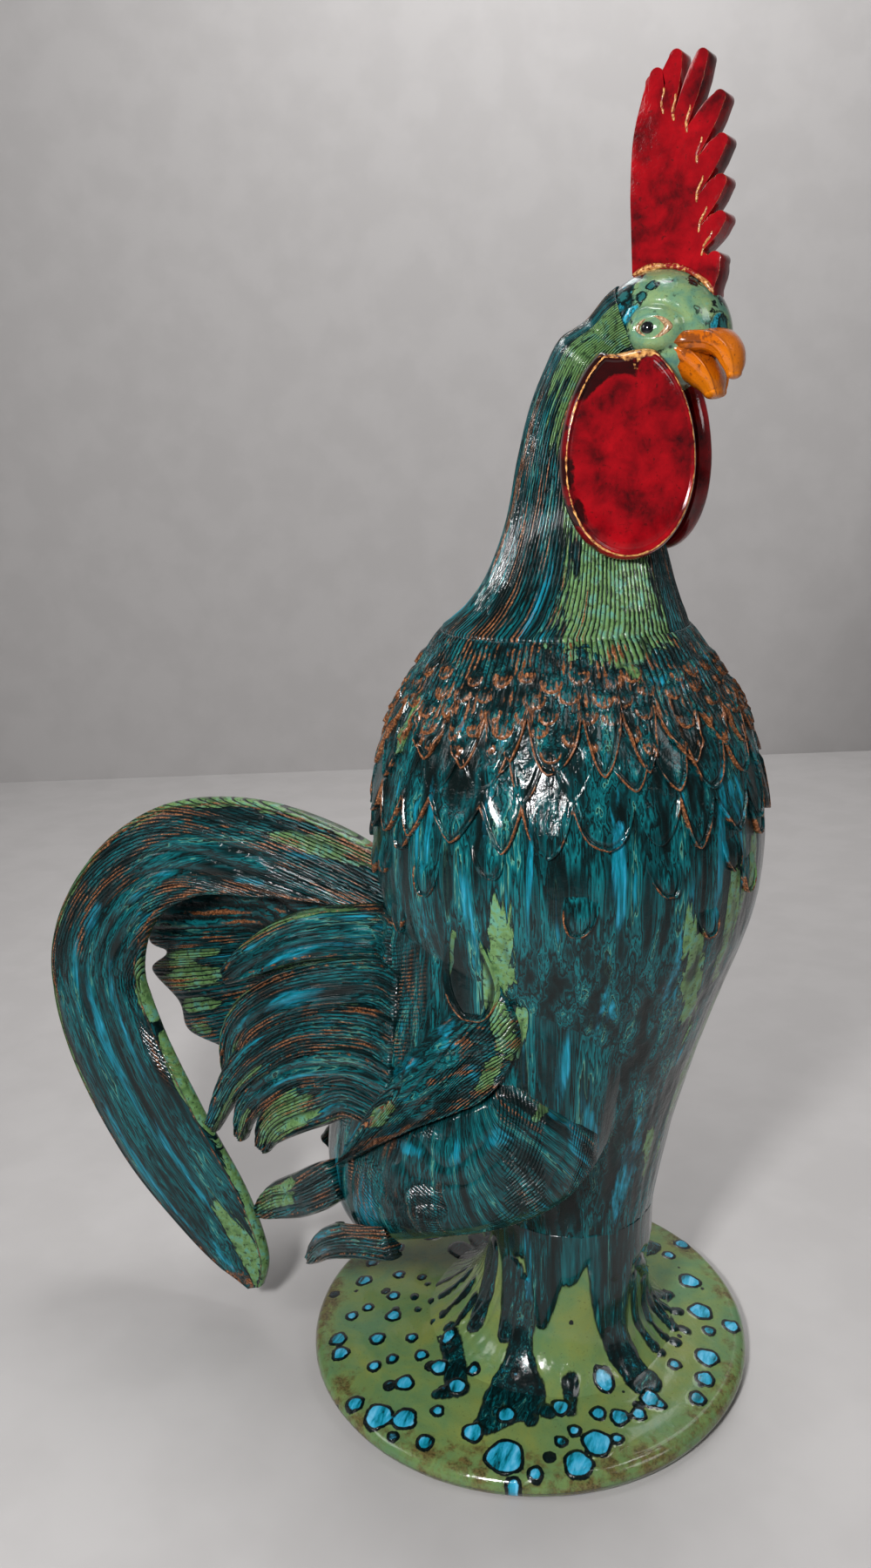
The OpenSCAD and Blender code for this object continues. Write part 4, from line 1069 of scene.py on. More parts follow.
def blade(name, across, length, line, widths, thicks, side, relief, seated=0.0, seed=0, **places):
    """A feather swept along a line: a flat oval tube whose faces carry combed grooves.

    The widths and thicks are halves, and seated is how far off the skin its root half keeps.
    """
    obj, u, v = sheet(name, across, length)
    k = 360 * u
    end = 0.05
    s = np.clip((v - end) / (1 - 2 * end), 0, 1)
    close = np.sqrt(np.clip(1 - np.clip((v - 1 + end) / end, 0, 1) ** 2, 0, 1))
    here = along(line, s)
    ahead = unit(along(line, np.minimum(s + 0.02, 1)) - along(line, np.maximum(s - 0.02, 0)))
    w = unit(np.cross(np.broadcast_to(side, ahead.shape), ahead))
    n = np.cross(ahead, w)
    half_w = along(np.array(widths)[:, None], s)[:, 0] * close
    half_t = along(np.array(thicks)[:, None], s)[:, 0] * close
    x = half_w * cos(k)
    run = s * np.linalg.norm(np.diff(along(line, np.linspace(0, 1, 60)), axis=0), axis=1).sum()
    face = np.abs(sin(k)) ** 0.6 * np.sign(sin(k))
    height, fields = relief(x, run, s, half_w, seed, **places)
    rim = np.clip(np.abs(sin(k)) * 2.5, 0, 1) * close
    p = here + w * x[:, None] + n * (half_t * face + np.sign(sin(k)) * height * rim)[:, None]
    if seated:
        p = np.where((s < 0.5)[:, None], clear_skin(p, seated - 2.4 * step(0.35, 0.0, s) ** 2), p)
    wrap(obj, p, grain=(x, 0 * x + 13 * seed, run * 0.13), **fields)
    return obj


def feather_share(x, s, half):
    """The place on a feather, in hundredths of its half width and of its length."""
    return 100 * np.clip(x / np.maximum(half, 1), -1, 1), 100 * s


def plume_relief(x, run, s, half, seed, green=(), blue=(), rim=0.3):
    """Grooves combed along a feather, deepest on its faces, with strands that part toward its tip."""
    wander = 6 * (clouds(x * 0.4, run * 0.12, seed + 0 * x, 12, seed) - 0.5)
    strokes = (x * (1 + 0.3 * s) + wander) / comb_tool_pitch
    strands = ridges((x + 1.2 * wander) / 7.5 + 0.5)
    at = feather_share(x, s, half)
    smooth_part = step(-0.3, 0.3, patch(*at, blue)) if len(blue) else 0
    cut = step(0.30, 0.46, clouds(x * 0.8, run * 0.3, seed + 0 * x, 14, seed + 3)) * (1 - smooth_part)
    edge = half - np.abs(x)
    height = 0.6 * cut * (ridges(strokes) - 1) + 1.8 * (strands - 1) * np.clip(edge / 3, 0, 1)
    height = height + 1.1 * hill(edge - 1.4, 1.1)
    leafy = patch(*at, green) if len(green) else -1.0
    broken = 0.5 * (clouds(run, x, 0 * x, 20, seed + 5) - 0.5)
    leafy = np.maximum(leafy, rim - edge / 3 + broken - 0.6 * step(0.3, 0, s))
    bluish = patch(*at, blue) if len(blue) else -1.0
    # Painted shade at the feather's edge where it overlaps the next, with pooled glaze and painted shade in
    # the grooves between strands.
    dip = np.clip(0.9 * (1 - strands) ** 2 + hill(edge, 1.3), 0, 1)
    return height, dict(green=leafy, blue=bluish, copper=0.5 * hill(edge - 3.0, 0.8), dip=dip,
                        strokes=strokes, cut=cut, worn=0.24)


def sickle_relief(x, run, s, half, seed):
    """Long grooves that sweep outward across the sickle feather, with smooth glaze down its lower limb."""
    across, length = feather_share(x, s, half)
    edge = half - np.abs(x)
    sway = 9 * (clouds(x * 0.5, run * 0.10, 0 * x, 20, seed + 61) - 0.5)
    sweep = x + run * 0.2 * step(0.0, 0.35, s) * step(0.75, 0.5, s) + sway
    strokes = sweep / comb_tool_pitch
    strands = ridges(sweep / 11)
    upper = step(0.60, 0.42, s)
    tip = step(0.86, 0.94, s) * step(40, 0, across)
    shiny = patch(across, length, [(15, 27, 55, 13, 0), (30, 45, 60, 9, 0)])
    combed = clouds(x * 0.7, run * 0.2, 0 * x, 17, seed + 63) + 0.20 * upper - 0.16 * (1 - upper)
    cut = step(0.42, 0.54, combed + 0.2 * tip) * step(0.45, 0.0, shiny)
    hollow = 1.5 * hill(across / 100 - 0.1, 0.5) * step(0.2, 0.4, s) * step(0.98, 0.85, s)
    height = 0.75 * cut * (ridges(strokes) - 1) + 1.9 * upper * (strands - 1) - hollow
    height = height + 0.9 * hill(edge - 1.6, 1.2)
    broken = clouds(run, x * 0.5, 0 * x, 26, seed + 65) - 0.5
    outer = step(-40, -90, across) * step(0.78, 0.6, s)
    green = outer * (0.62 - edge / 5.5) + 1.1 * broken * outer - (1 - outer)
    inner = step(30, 80, across) * step(0.42, 0.5, s)
    green = np.maximum(green, inner * (0.50 - edge / 5) + 2.0 * broken * inner - (1 - inner))
    green = np.maximum(green, patch(across, length, [(-45, 12, 18, 6, 0), (-70, 6, 14, 7, 0),
                                                     (45, 91, 34, 9, 0), (30, 84, 20, 5, 0)]))
    blue = patch(across, length, [(-20, 13, 18, 3, 0), (30, 33, 14, 2.5, 0), (-20, 45, 12, 3, 0),
                                  (-5, 60, 14, 12, 5), (-45, 88, 14, 6, 0), (10, 74, 12, 10, 0),
                                  (-70, 72, 10, 14, 0), (40, 58, 8, 12, 0), (-35, 52, 10, 5, 0),
                                  (60, 20, 14, 3, 0)])
    # Darker inside the rims and in the grooves between strands: partly pooled glaze, partly painted shade.
    return height, dict(green=green, blue=blue, copper=np.maximum(0.5 * hill(edge - 2.8, 0.9), 0.5 * tip),
                        dip=np.maximum(0.9 * hill(edge - 2.6, 0.7), 0.95 * (1 - strands) ** 1.6 * upper),
                        strokes=strokes, cut=cut, worn=mix(0.12, 0.32, upper))


def sickle():
    """The tail's main curve."""
    shares = np.array(sickle_shares)
    line = tail_point(shares[:, :3])
    widths = shares[:, 3] * tail_reach
    thicks = shares[:, 4] * sickle_t / 2
    obj = blade("sickle_feather", 290, 230, line, widths, thicks, (0, -1, 0), sickle_relief, 0.3)
    return seat_piece(obj, tail_glaze, "tail_glaze", "sickle_feather")


# Tail fan: back and up shares of its outline, which runs through the feathers' tips
fan_tip_shares = [[0.72, 0.0], [0.95, -0.3], [0.89, -0.36], [0.955, -0.43], [0.86, -0.53], [0.83, -0.63],
                  [0.68, -0.68], [0.62, -0.76], [0.48, -0.78]]
fan_side = -0.055


def fan():
    """The fan: one slab whose feathers are parted by grooves that spread from its root."""
    obj, u, v = sheet("tail_fan", 420, 150)
    k = 360 * u
    share = (1 - cos(k)) / 2
    front = sin(k) >= 0
    tip = along(fan_tip_shares, share)
    root_z = mix(tail_root_z - tail_reach * 0.06, tail_root_z - tail_reach * 0.42, share)
    y0 = -fan_side * tail_reach
    root_x = body_x - np.sqrt(skin_r(0.0, root_z) ** 2 - y0 ** 2) + 2.5
    tip_x = tail_root_x - tip[:, 0] * tail_reach + 1.2
    tip_z = tail_root_z + tip[:, 1] * tail_reach
    x = mix(root_x, tip_x, v)
    z = mix(root_z, tip_z, sin(90 * v) * 0.35 + v * 0.65)
    spread = share * 16 + 0.9 * (clouds(share * 30, v * 12, 0 * v, 8, 71) - 0.5)
    strands = ridges(spread / 2)
    sway = 2.4 * (clouds(share * 40, v * 10, 0 * v, 10, 73) - 0.5)
    strokes = share * mix(34, 52, step(0.4, 0.6, v)) + sway
    cut = step(0.26, 0.40, clouds(share * 60, v * 26, 0 * v, 13, 75) + 0.1 * step(0.9, 0.3, v))
    thin = np.sqrt(np.clip(np.abs(sin(k)) * 2.2, 0, 1)) * np.sqrt(np.clip((1 - v) * 14, 0, 1))
    half_t = (fan_t / 2 - 0.6) * (1 - 0.45 * v) * thin
    relief = 1.6 * (strands - 1) + 0.6 * cut * (ridges(strokes) - 1)
    half_t = np.maximum(half_t + relief * thin, 0.4 * thin)
    p = np.stack([x, y0 - np.where(front, 1, -1) * half_t, z], -1)
    at = 100 * share, 100 * v
    green = patch(*at, [(26, 88, 4, 13, 0), (34, 91, 3, 10, 0), (42, 84, 4, 17, 0), (52, 90, 3, 9, 0),
                        (88, 80, 5, 16, 0), (76, 92, 4, 6, 0), (63, 93, 3, 5, 0)])
    blue = patch(*at, [(18, 40, 3, 12, 0), (40, 55, 3, 12, 0), (60, 60, 3, 16, 0), (30, 70, 2, 12, 0)])
    # Darker in the grooves between the fan's feathers: partly pooled glaze, partly painted shade.
    wrap(obj, p, grain=(share * 130, 0 * x, x * 0.13), green=green, blue=blue, copper=0, strokes=strokes,
         cut=cut, dip=0.9 * (1 - strands) ** 2, worn=0.22)
    return seat_piece(obj, tail_glaze, "tail_glaze", "tail_fan")


# Coverts: angle and height share of the root, width share, then points of the middle line
covert_shares = [
    [22, 0.88, 0.9, [[0.2, -0.12, 0.2], [0.37, -0.205, 0.2], [0.485, -0.285, 0.195]]],
    [30, 0.745, 0.95, [[0.2, -0.275, 0.25], [0.36, -0.365, 0.24], [0.45, -0.47, 0.225],
                       [0.49, -0.61, 0.21]]],
    [33, 0.63, 0.85, [[0.19, -0.38, 0.27], [0.34, -0.475, 0.26], [0.46, -0.6, 0.24], [0.565, -0.78, 0.22]]],
    [36, 0.53, 0.7, [[0.2, -0.5, 0.285], [0.33, -0.59, 0.27], [0.41, -0.68, 0.255], [0.45, -0.78, 0.24]]],
    [36, 0.47, 0.85, [[0.13, -0.56, 0.32], [0.24, -0.63, 0.31], [0.31, -0.7, 0.295], [0.345, -0.77, 0.285]]]]
# The vent and thigh feathers have their points in shares of rump_out from their own roots
vent_shares = [36, 0.2, 0.75, [[0.32, -0.26, -0.145], [0.605, -0.46, -0.275], [0.85, -0.68, -0.41]]]
thigh_shares = [60, 0.15, 0.6, [[0.32, -0.175, -0.18], [0.63, -0.4, -0.355], [0.86, -0.68, -0.53]]]
covert_width_shares = [0.85, 1, 1, 0.95, 0.84, 0.62, 0.34]
# Green and turquoise patches, in hundredths across and along each feather: middle, half width, half
# length and lean
covert_blues = [[(55, 56, 34, 20, 0)], [(10, 42, 44, 12, 0), (0, 66, 24, 12, 0)], [(-50, 60, 10, 20, 0)],
                [(20, 50, 10, 20, 0)], [(50, 40, 20, 24, 0)]]
covert_greens = [[(-82, 60, 10, 34, 0)], [(-90, 80, 14, 22, 0), (30, 84, 10, 14, 0)], [(60, 78, 16, 20, 0)],
                 [(30, 86, 30, 12, 0)], [(0, 66, 74, 30, 0)]]
vent_green = [(-30, 66, 66, 30, 0)]
thigh_blue = [(30, 70, 24, 14, 0), (-60, 70, 24, 26, 0)]


def hanging_feather(name, shares, off, seed, from_root=False, **places):
    """A feather that hangs from a root on the skin, where it starts half sunk."""
    angle, rise, width, points = shares
    root = on_skin(np.float64(angle), np.float64(mix(rump_low_z, rump_top_z, rise)), off)
    points = np.array(points)
    if from_root:
        line = root + np.stack([-points[:, 0], -points[:, 2], points[:, 1]], -1) * rump_out
    else:
        line = tail_point(points)
    ahead = on_skin(np.float64(angle + 20), np.float64(root[2] + 7), off - 3)
    line = np.vstack([root, line]) if from_root else np.vstack([ahead, root, line])
    widths = covert_w * width / 2 * np.array(covert_width_shares)
    thicks = covert_t / 2 * np.linspace(1, 0.65, 7)
    side = unit(np.array([-0.3 * sin(angle), -1, 0.3]))
    return blade(name, 130, 80, line, widths, thicks, side, plume_relief, off, seed, **places)


def coverts():
    """The coverts, thigh feathers and vent feathers of both sides."""
    feathers = [("covert_%d" % (i + 1), shares, 0.6, False, covert_greens[i], covert_blues[i])
                for i, shares in enumerate(covert_shares)]
    feathers.append(("thigh_feather", thigh_shares, wing_t + 0.4, True, [], thigh_blue))
    feathers.append(("vent_feather", vent_shares, 0.6, True, vent_green, []))
    for i, (name, shares, off, from_root, green, blue) in enumerate(feathers):
        obj = hanging_feather("right_" + name, shares, off, 100 + 11 * i, from_root, green=green, blue=blue)
        seat_pair(obj, name, tail_glaze, "covert_glaze", name)


# Plinth and leg column

column_foot_x = body_x * 0.4
column_shares = [[0, 1], [0.06, 0.72], [0.16, 0.4], [0.3, 0.17], [0.5, 0.04], [0.75, -0.02], [1, 0]]
flare_share = smooth(column_shares)
# Drips of dark glaze down the column and over the plinth: points along each one, with its half width
drips = [[(25, -42, 92, 17), (24, -47, 44, 3)], [(46, -18, 92, 12), (57, -28, 42, 10), (74, -34, 16, 8)],
         [(-22, -34, 64, 10), (-18, -46, 36, 6)], [(2, -44, 66, 9), (4, -50, 36, 5)],
         [(13, -45, 60, 7), (14, -53, 29, 7)], [(14, -53, 29, 7), (17, -68, 18, 15), (10, -88, 14, 6)],
         [(-31, -42, 24, 4), (-12, -72, 17, 6)], [(-12, -72, 17, 6), (-20, -79, 16, 3)],
         [(42, -54, 22, 4), (45, -65, 16, 3.5)], [(35, -70, 16, 4)], [(28, -77, 16, 4)],
         [(62, -15, 60, 4), (76, -11, 20, 3.4)], [(58, 33, 36, 4), (79, 10, 16, 3)],
         [(66, 13, 40, 4), (85, 11, 15, 3)], [(66, -11, 67, 4), (70, 35, 18, 3)],
         [(64, 0, 50, 4), (82, 0, 16, 3)], [(60, 20, 46, 4), (78, 24, 17, 3)],
         [(-40, -12, 40, 3.4), (-48, -18, 27, 3)], [(-34, -26, 42, 3.4), (-41, -33, 26, 3)],
         [(-46, 0, 36, 2.4), (-57, -6, 22, 2)], [(-27, -36, 40, 3), (-31, -44, 26, 2.6)],
         [(-60, -18, 20, 2.4)], [(-54, -27, 20, 2)], [(-66, -30, 18, 2.4)]]
# Sky blue pools on the plinth: distance along and across from its centre, and radius
pools = [(24, -101, 8.4), (62, -78, 6.4), (57, -92, 6.3), (40, -104, 3), (32, -112, 2.8),
         (-43, -99, 6.6), (-30, -97, 5.6), (-58, -95, 3.8), (-15, -106, 3.6), (-39, -77, 4.2),
         (56, -44, 4.5), (68, -60, 4), (76, -54, 3.2), (58, -62, 3.2), (50, -76, 2.6), (100, -32, 3.6),
         (101, -18, 4.2), (99, -3, 5.4), (85, -16, 2.8), (89, 30, 5.7), (96, 17, 2.9), (78, 53, 5.4),
         (62, 72, 3.1), (106, 27, 4), (-95, -11, 3.8), (-65, -35, 3.6), (-66, -53, 3.5), (-81, -67, 4),
         (-87, -58, 4), (-59, -71, 2.8), (-28, -45, 3.5), (79, -43, 4.4), (-26, -63, 4),
         (-12, -72, 4.4), (17, -80, 4), (5, -94, 4.5), (40, -66, 4), (-74, 40, 5), (-90, 22, 4),
         (-60, 66, 6), (-36, 86, 4), (-8, 96, 6), (20, 88, 4), (40, 92, 5), (-50, 92, 3), (4, 76, 3),
         (-98, 6, 3), (66, 88, 4), (-48, -48, 2.4), (-38, -58, 2.8), (-72, -20, 2.8), (-77, -2, 2.6),
         (-52, -64, 2.4), (-82, -32, 2.4), (-88, -40, 2.6), (46, -84, 2.2), (-8, -60, 2.4),
         (-16, -88, 2.6), (70, -72, 2.4), (84, -44, 2.4)]


def back_drips():
    """Drips on the far side of the column, where the photograph doesn't show them."""
    found = []
    for i in range(9):
        a = 62 + 11.5 * i
        reach = mix(62, 88, random(i, 91))
        half = mix(4, 8, random(i, 92))
        high = (body_x + 40 * cos(a), 40 * sin(a), 66, half * 1.3)
        low = (column_foot_x + reach * cos(a), reach * sin(a), 15, half)
        found.append([high, (low[0] * 0.8, low[1] * 0.72, 30, half), low])
    return found


def drip_field(p, normal):
    """How deep inside the nearest drip a point lies, in millimetres along the surface."""
    best = np.full(len(p), -30.0)
    for drip in drips + back_drips():
        knots = np.array(drip if len(drip) > 1 else drip * 2, float)
        for start, end in zip(knots[:-1], knots[1:]):
            way = end[:3] - start[:3]
            t = np.clip((p - start[:3]) @ way / max(way @ way, 1e-6), 0, 1)
            gap = p - start[:3] - t[:, None] * way
            rise = np.sum(gap * normal, axis=1, keepdims=True)
            gap = gap - rise * normal
            far = np.linalg.norm(gap, axis=1) + np.clip(np.abs(rise[:, 0]) - 16, 0, 60)
            best = np.maximum(best, mix(start[3], end[3], t) - far)
    return best + 2.4 * (clouds(p[:, 0], p[:, 1], p[:, 2] * 0.4, 7, 50) - 0.5)


def pool_field(p):
    """How deep inside the nearest pool a point lies, in millimetres."""
    best = np.full(len(p), -9.0)
    for i, (x, y, r) in enumerate(pools):
        dx, dy = p[:, 0] - x, p[:, 1] - y
        lobes = 1 + 0.05 * np.sin(3 * np.arctan2(dy, dx) + 2 * i) + 0.03 * np.sin(5 * np.arctan2(dy, dx) + i)
        best = np.maximum(best, np.where(p[:, 2] < 40, r - np.hypot(dx, dy) * lobes, -9))
    return best


def plinth():
    """The domed plinth, with a rounded rim and a turned, slightly uneven top."""
    obj, u, v = sheet("plinth", 400, 170)
    a = 360 * u
    rim_r = plinth_rim_t / 2
    dome_r = plinth_r - rim_r
    dome_part = 0.78
    on_dome = v <= dome_part
    top, bent, under = spans(v, dome_part, 0.96)
    r = np.where(on_dome, dome_r * mix(0.35, 1, top), dome_r + rim_r * sin(180 * bent))
    dome_z = plinth_rim_t + plinth_dome_h * (1 - (r / dome_r) ** 2)
    z = np.where(on_dome, dome_z, rim_r + rim_r * cos(180 * bent))
    r = np.where(under > 0, dome_r * (1 - under), r)
    z = np.where(under > 0, 0, z)
    x, y = r * cos(-a), r * sin(-a)
    uneven = 0.9 * (clouds(x, y, z, 45, 33) - 0.5) + 0.1 * np.sin(r * 0.5) * on_dome
    z = z + np.where(z > 1, np.minimum(uneven, 0.3), 0)
    r = r - np.where(under > 0, 0, 0.5 * clouds(x, y, z, 30, 35) * (bent > 0))
    p = np.stack([r * cos(-a), r * sin(-a), z], -1)
    drip, pool = drip_field(p, np.array([0, 0, 1.0])), pool_field(p)
    thick = 0.8 * step(-0.5, 2, drip) + 0.5 * step(-0.5, 2, pool) + 0.5 * hill(pool + 0.3, 0.7)
    p[:, 2] += np.where((under == 0) & (z > 5), thick - 0.7, 0)
    wrap(obj, p, grain=(p[:, 0] * 0.9, p[:, 1] * 0.25, 0 * z), drip=drip, pool=pool,
         rim=step(dome_r - 22, dome_r, r), tongue=-1)
    return seat_piece(obj, foot_glaze, "plinth_glaze", "plinth")


def leg_column():
    """The flared column under the body, with drips down its flare and streaks carved at its foot."""
    obj, u, v = sheet("leg_column", 380, 120)
    a = 360 * u
    skirt = 0.05
    s = np.clip((v - skirt) / (1 - skirt), 0, 1) ** 1.3
    top_r = mix(column_r, flare_r, flare_share(s))
    x_mid = mix(column_foot_x, body_x, sin(90 * np.minimum(1, s / 0.8)))
    foot = plinth_rim_t + plinth_dome_h * (1 - ((flare_r + 4) / (plinth_r - 6)) ** 2)
    z = mix(foot - 1.6, column_top_z + 3, s)
    x, y = x_mid + top_r * cos(a), top_r * sin(a)
    carved_places = ((8, 26), (-138, 24), (150, 30))
    carved = np.max([hill(signed(a - middle), width) for middle, width in carved_places], axis=0)
    carved = carved * step(0.62, 0.3, s) * step(0, 0.06, s)
    strokes = (a / 360 * 96 + 2.4 * clouds(x, y, z * 0.4, 22, 6)) / 1.6
    runs = clouds(x, y, z * 0.12, 8, 7)
    lobes = clouds(60 * cos(a), 60 * sin(a), z * 0.05, 17, 9)
    p = np.stack([x, y, z], -1)
    near = 0.02
    widening = (flare_r - column_r) * (flare_share(s + near) - flare_share(s - near))
    widening = widening / (2 * near * (column_top_z - foot))
    normal = unit(np.stack([cos(a), sin(a), -widening], -1))
    drip = np.maximum(drip_field(p, normal), (z - 72 - 30 * (lobes - 0.5)) * 0.5)
    r = top_r - 1.6 + 1.8 * step(-1.5, 3, drip) + carved * (ridges(strokes) - 1)
    r = r + 0.8 * (runs - 0.5) + 1.2 * (lobes - 0.5) * (1 - s)
    r = np.where(v < skirt, r + 3 * (1 - v / skirt), r)
    z = np.where(v < skirt, foot - 2.2, z)
    p = np.stack([x_mid + r * cos(a), r * sin(a), z], -1)
    tongue = patch(signed(a), z, [(-66, 76, 17, 34, 0), (30, 70, 6, 30, 0)])
    wrap(obj, p, drip=drip, pool=pool_field(p), rim=0, tongue=tongue)
    return seat_piece(obj, foot_glaze, "column_glaze", "leg_column")


# Glazes

coat_rough = 0.06
glaze_ior = 1.36


class Signal:
    """A node's result. Sums and products of it add the nodes that work them out."""

    def __init__(self, mixer, socket):
        self.mixer = mixer
        self.socket = socket

    def __add__(self, other):
        return self.mixer.math("ADD", self, other)

    def __sub__(self, other):
        return self.mixer.math("SUBTRACT", self, other)

    def __mul__(self, other):
        return self.mixer.math("MULTIPLY", self, other)


class Mixer:
    """Builds a material's nodes one after another."""

    def __init__(self, name):
        self.material = bpy.data.materials.new(name)
        self.material.use_nodes = True
        self.tree = self.material.node_tree
        self.tree.nodes.clear()
        self.out = self.tree.nodes.new("ShaderNodeOutputMaterial")
        self.shader = self.tree.nodes.new("ShaderNodeBsdfPrincipled")
        self.tree.links.new(self.shader.outputs[0], self.out.inputs[0])

    def set(self, socket, value):
        """Links a socket to another node's result, or gives it a number or a colour."""
        if isinstance(value, Signal):
            self.tree.links.new(value.socket, socket)
        elif isinstance(value, tuple):
            socket.default_value = (*value, 1)
        else:
            socket.default_value = value

    def add(self, kind, inputs=(), output=0, **settings):
        node = self.tree.nodes.new(kind)
        for name, value in settings.items():
            setattr(node, name, value)
        for key, value in dict(inputs).items():
            self.set(node.inputs[key], value)
        return Signal(self, node.outputs[output])

    def math(self, operation, a, b=0.0):
        return self.add("ShaderNodeMath", {0: a, 1: b}, operation=operation)

    def value(self, name, output="Fac"):
        """A value painted on the points, or with the output Vector, a place laid on them."""
        return self.add("ShaderNodeAttribute", output=output, attribute_name=name)

    def place(self):
        """Where a point lies on the object."""
        return self.add("ShaderNodeTexCoord", output="Object")

    def noise(self, vector, size, detail=4.0, rough=0.55, swirl=0.0):
        """Noise whose largest lumps are size millimetres wide."""
        return self.add("ShaderNodeTexNoise", {"Vector": vector, "Scale": 1 / (size * mm), "Detail": detail,
                                               "Roughness": rough, "Distortion": swirl})

    def ramp(self, fac, stops):
        """Colours along a value, from (place, colour) stops."""
        node = self.tree.nodes.new("ShaderNodeValToRGB")
        for _ in stops[2:]:
            node.color_ramp.elements.new(0.5)
        for element, (position, colour) in zip(node.color_ramp.elements, stops):
            element.position = position
            element.color = (*colour, 1)
        self.set(node.inputs[0], fac)
        return Signal(self, node.outputs[0])

    def greys(self, fac, *stops):
        """A number along a value, from (place, number) stops."""
        return self.ramp(fac, [(position, (number,) * 3) for position, number in stops])

    def blend(self, fac, a, b):
        node = self.tree.nodes.new("ShaderNodeMix")
        node.data_type = "RGBA"
        fac_input, a_input, b_input = node.inputs[0], node.inputs[6], node.inputs[7]
        for socket, value in ((fac_input, fac), (a_input, a), (b_input, b)):
            self.set(socket, value)
        return Signal(self, node.outputs[2])

    def between(self, fac, low, high):
        """0 at low and 1 at high, smooth between them and level beyond."""
        return self.add("ShaderNodeMapRange", {"Value": fac, "From Min": low, "From Max": high},
                        interpolation_type="SMOOTHSTEP")

    def band(self, fac, middle, width):
        """1 at the middle of a thin band of values, 0 outside it."""
        return self.between(self.math("ABSOLUTE", fac - middle), width, 0.0)

    def bump(self, height, distance, strength=1.0, normal=None):
        inputs = {"Height": height, "Distance": distance * mm, "Strength": strength}
        if normal is not None:
            inputs["Normal"] = normal
        return self.add("ShaderNodeBump", inputs)

    def finish(self, colour, rough, normal, coat):
        """Sets the shader: its colour, roughness and bumps, and how much clear gloss lies over them."""
        values = {"Base Color": colour, "Roughness": rough, "Normal": normal, "Coat Weight": coat,
                  "Coat Roughness": coat_rough, "IOR": glaze_ior}
        for name, value in values.items():
            self.set(self.shader.inputs[name], value)
        return self.material


# Glaze colours, in linear light
ink = (0.0015, 0.005, 0.005)
deep_teal = (0.002, 0.018, 0.020)
teal = (0.002, 0.058, 0.066)
sea = (0.004, 0.120, 0.135)
turquoise = (0.004, 0.19, 0.27)
sky = (0.03, 0.33, 0.52)
pale_sky = (0.14, 0.48, 0.70)
leaf = (0.115, 0.22, 0.075)
moss = (0.06, 0.13, 0.045)
mint = (0.09, 0.26, 0.19)
olive = (0.125, 0.195, 0.065)
copper_brown = (0.17, 0.056, 0.018)
pale_copper = (0.42, 0.19, 0.085)
dark_brown = (0.030, 0.014, 0.007)
black = (0.001, 0.001, 0.001)
dark_clay, ochre, pale_ochre = (0.12, 0.03, 0.01), (0.52, 0.24, 0.075), (0.75, 0.40, 0.13)
dark_red, blood_red, bright_red = (0.04, 0.001, 0.002), (0.20, 0.001, 0.004), (0.33, 0.002, 0.006)
agate_stops = [(0.34, ink), (0.42, deep_teal), (0.465, teal), (0.473, ink), (0.50, deep_teal), (0.52, teal),
               (0.545, sea), (0.553, ink), (0.575, teal), (0.605, sea), (0.616, mint), (0.624, ink),
               (0.65, teal), (0.70, turquoise), (0.79, sky)]


def agate(m, grain, run_size):
    """Teal glaze that has run into dark pools and pale lines, and the noise that it follows."""
    runs = m.noise(grain, run_size, 4.0, 0.52, 0.3)
    fine_runs = m.noise(grain, run_size * 0.22, 3.0, 0.6, 0.2)
    return m.ramp(runs + (fine_runs * 0.16 - 0.08), agate_stops), runs, fine_runs


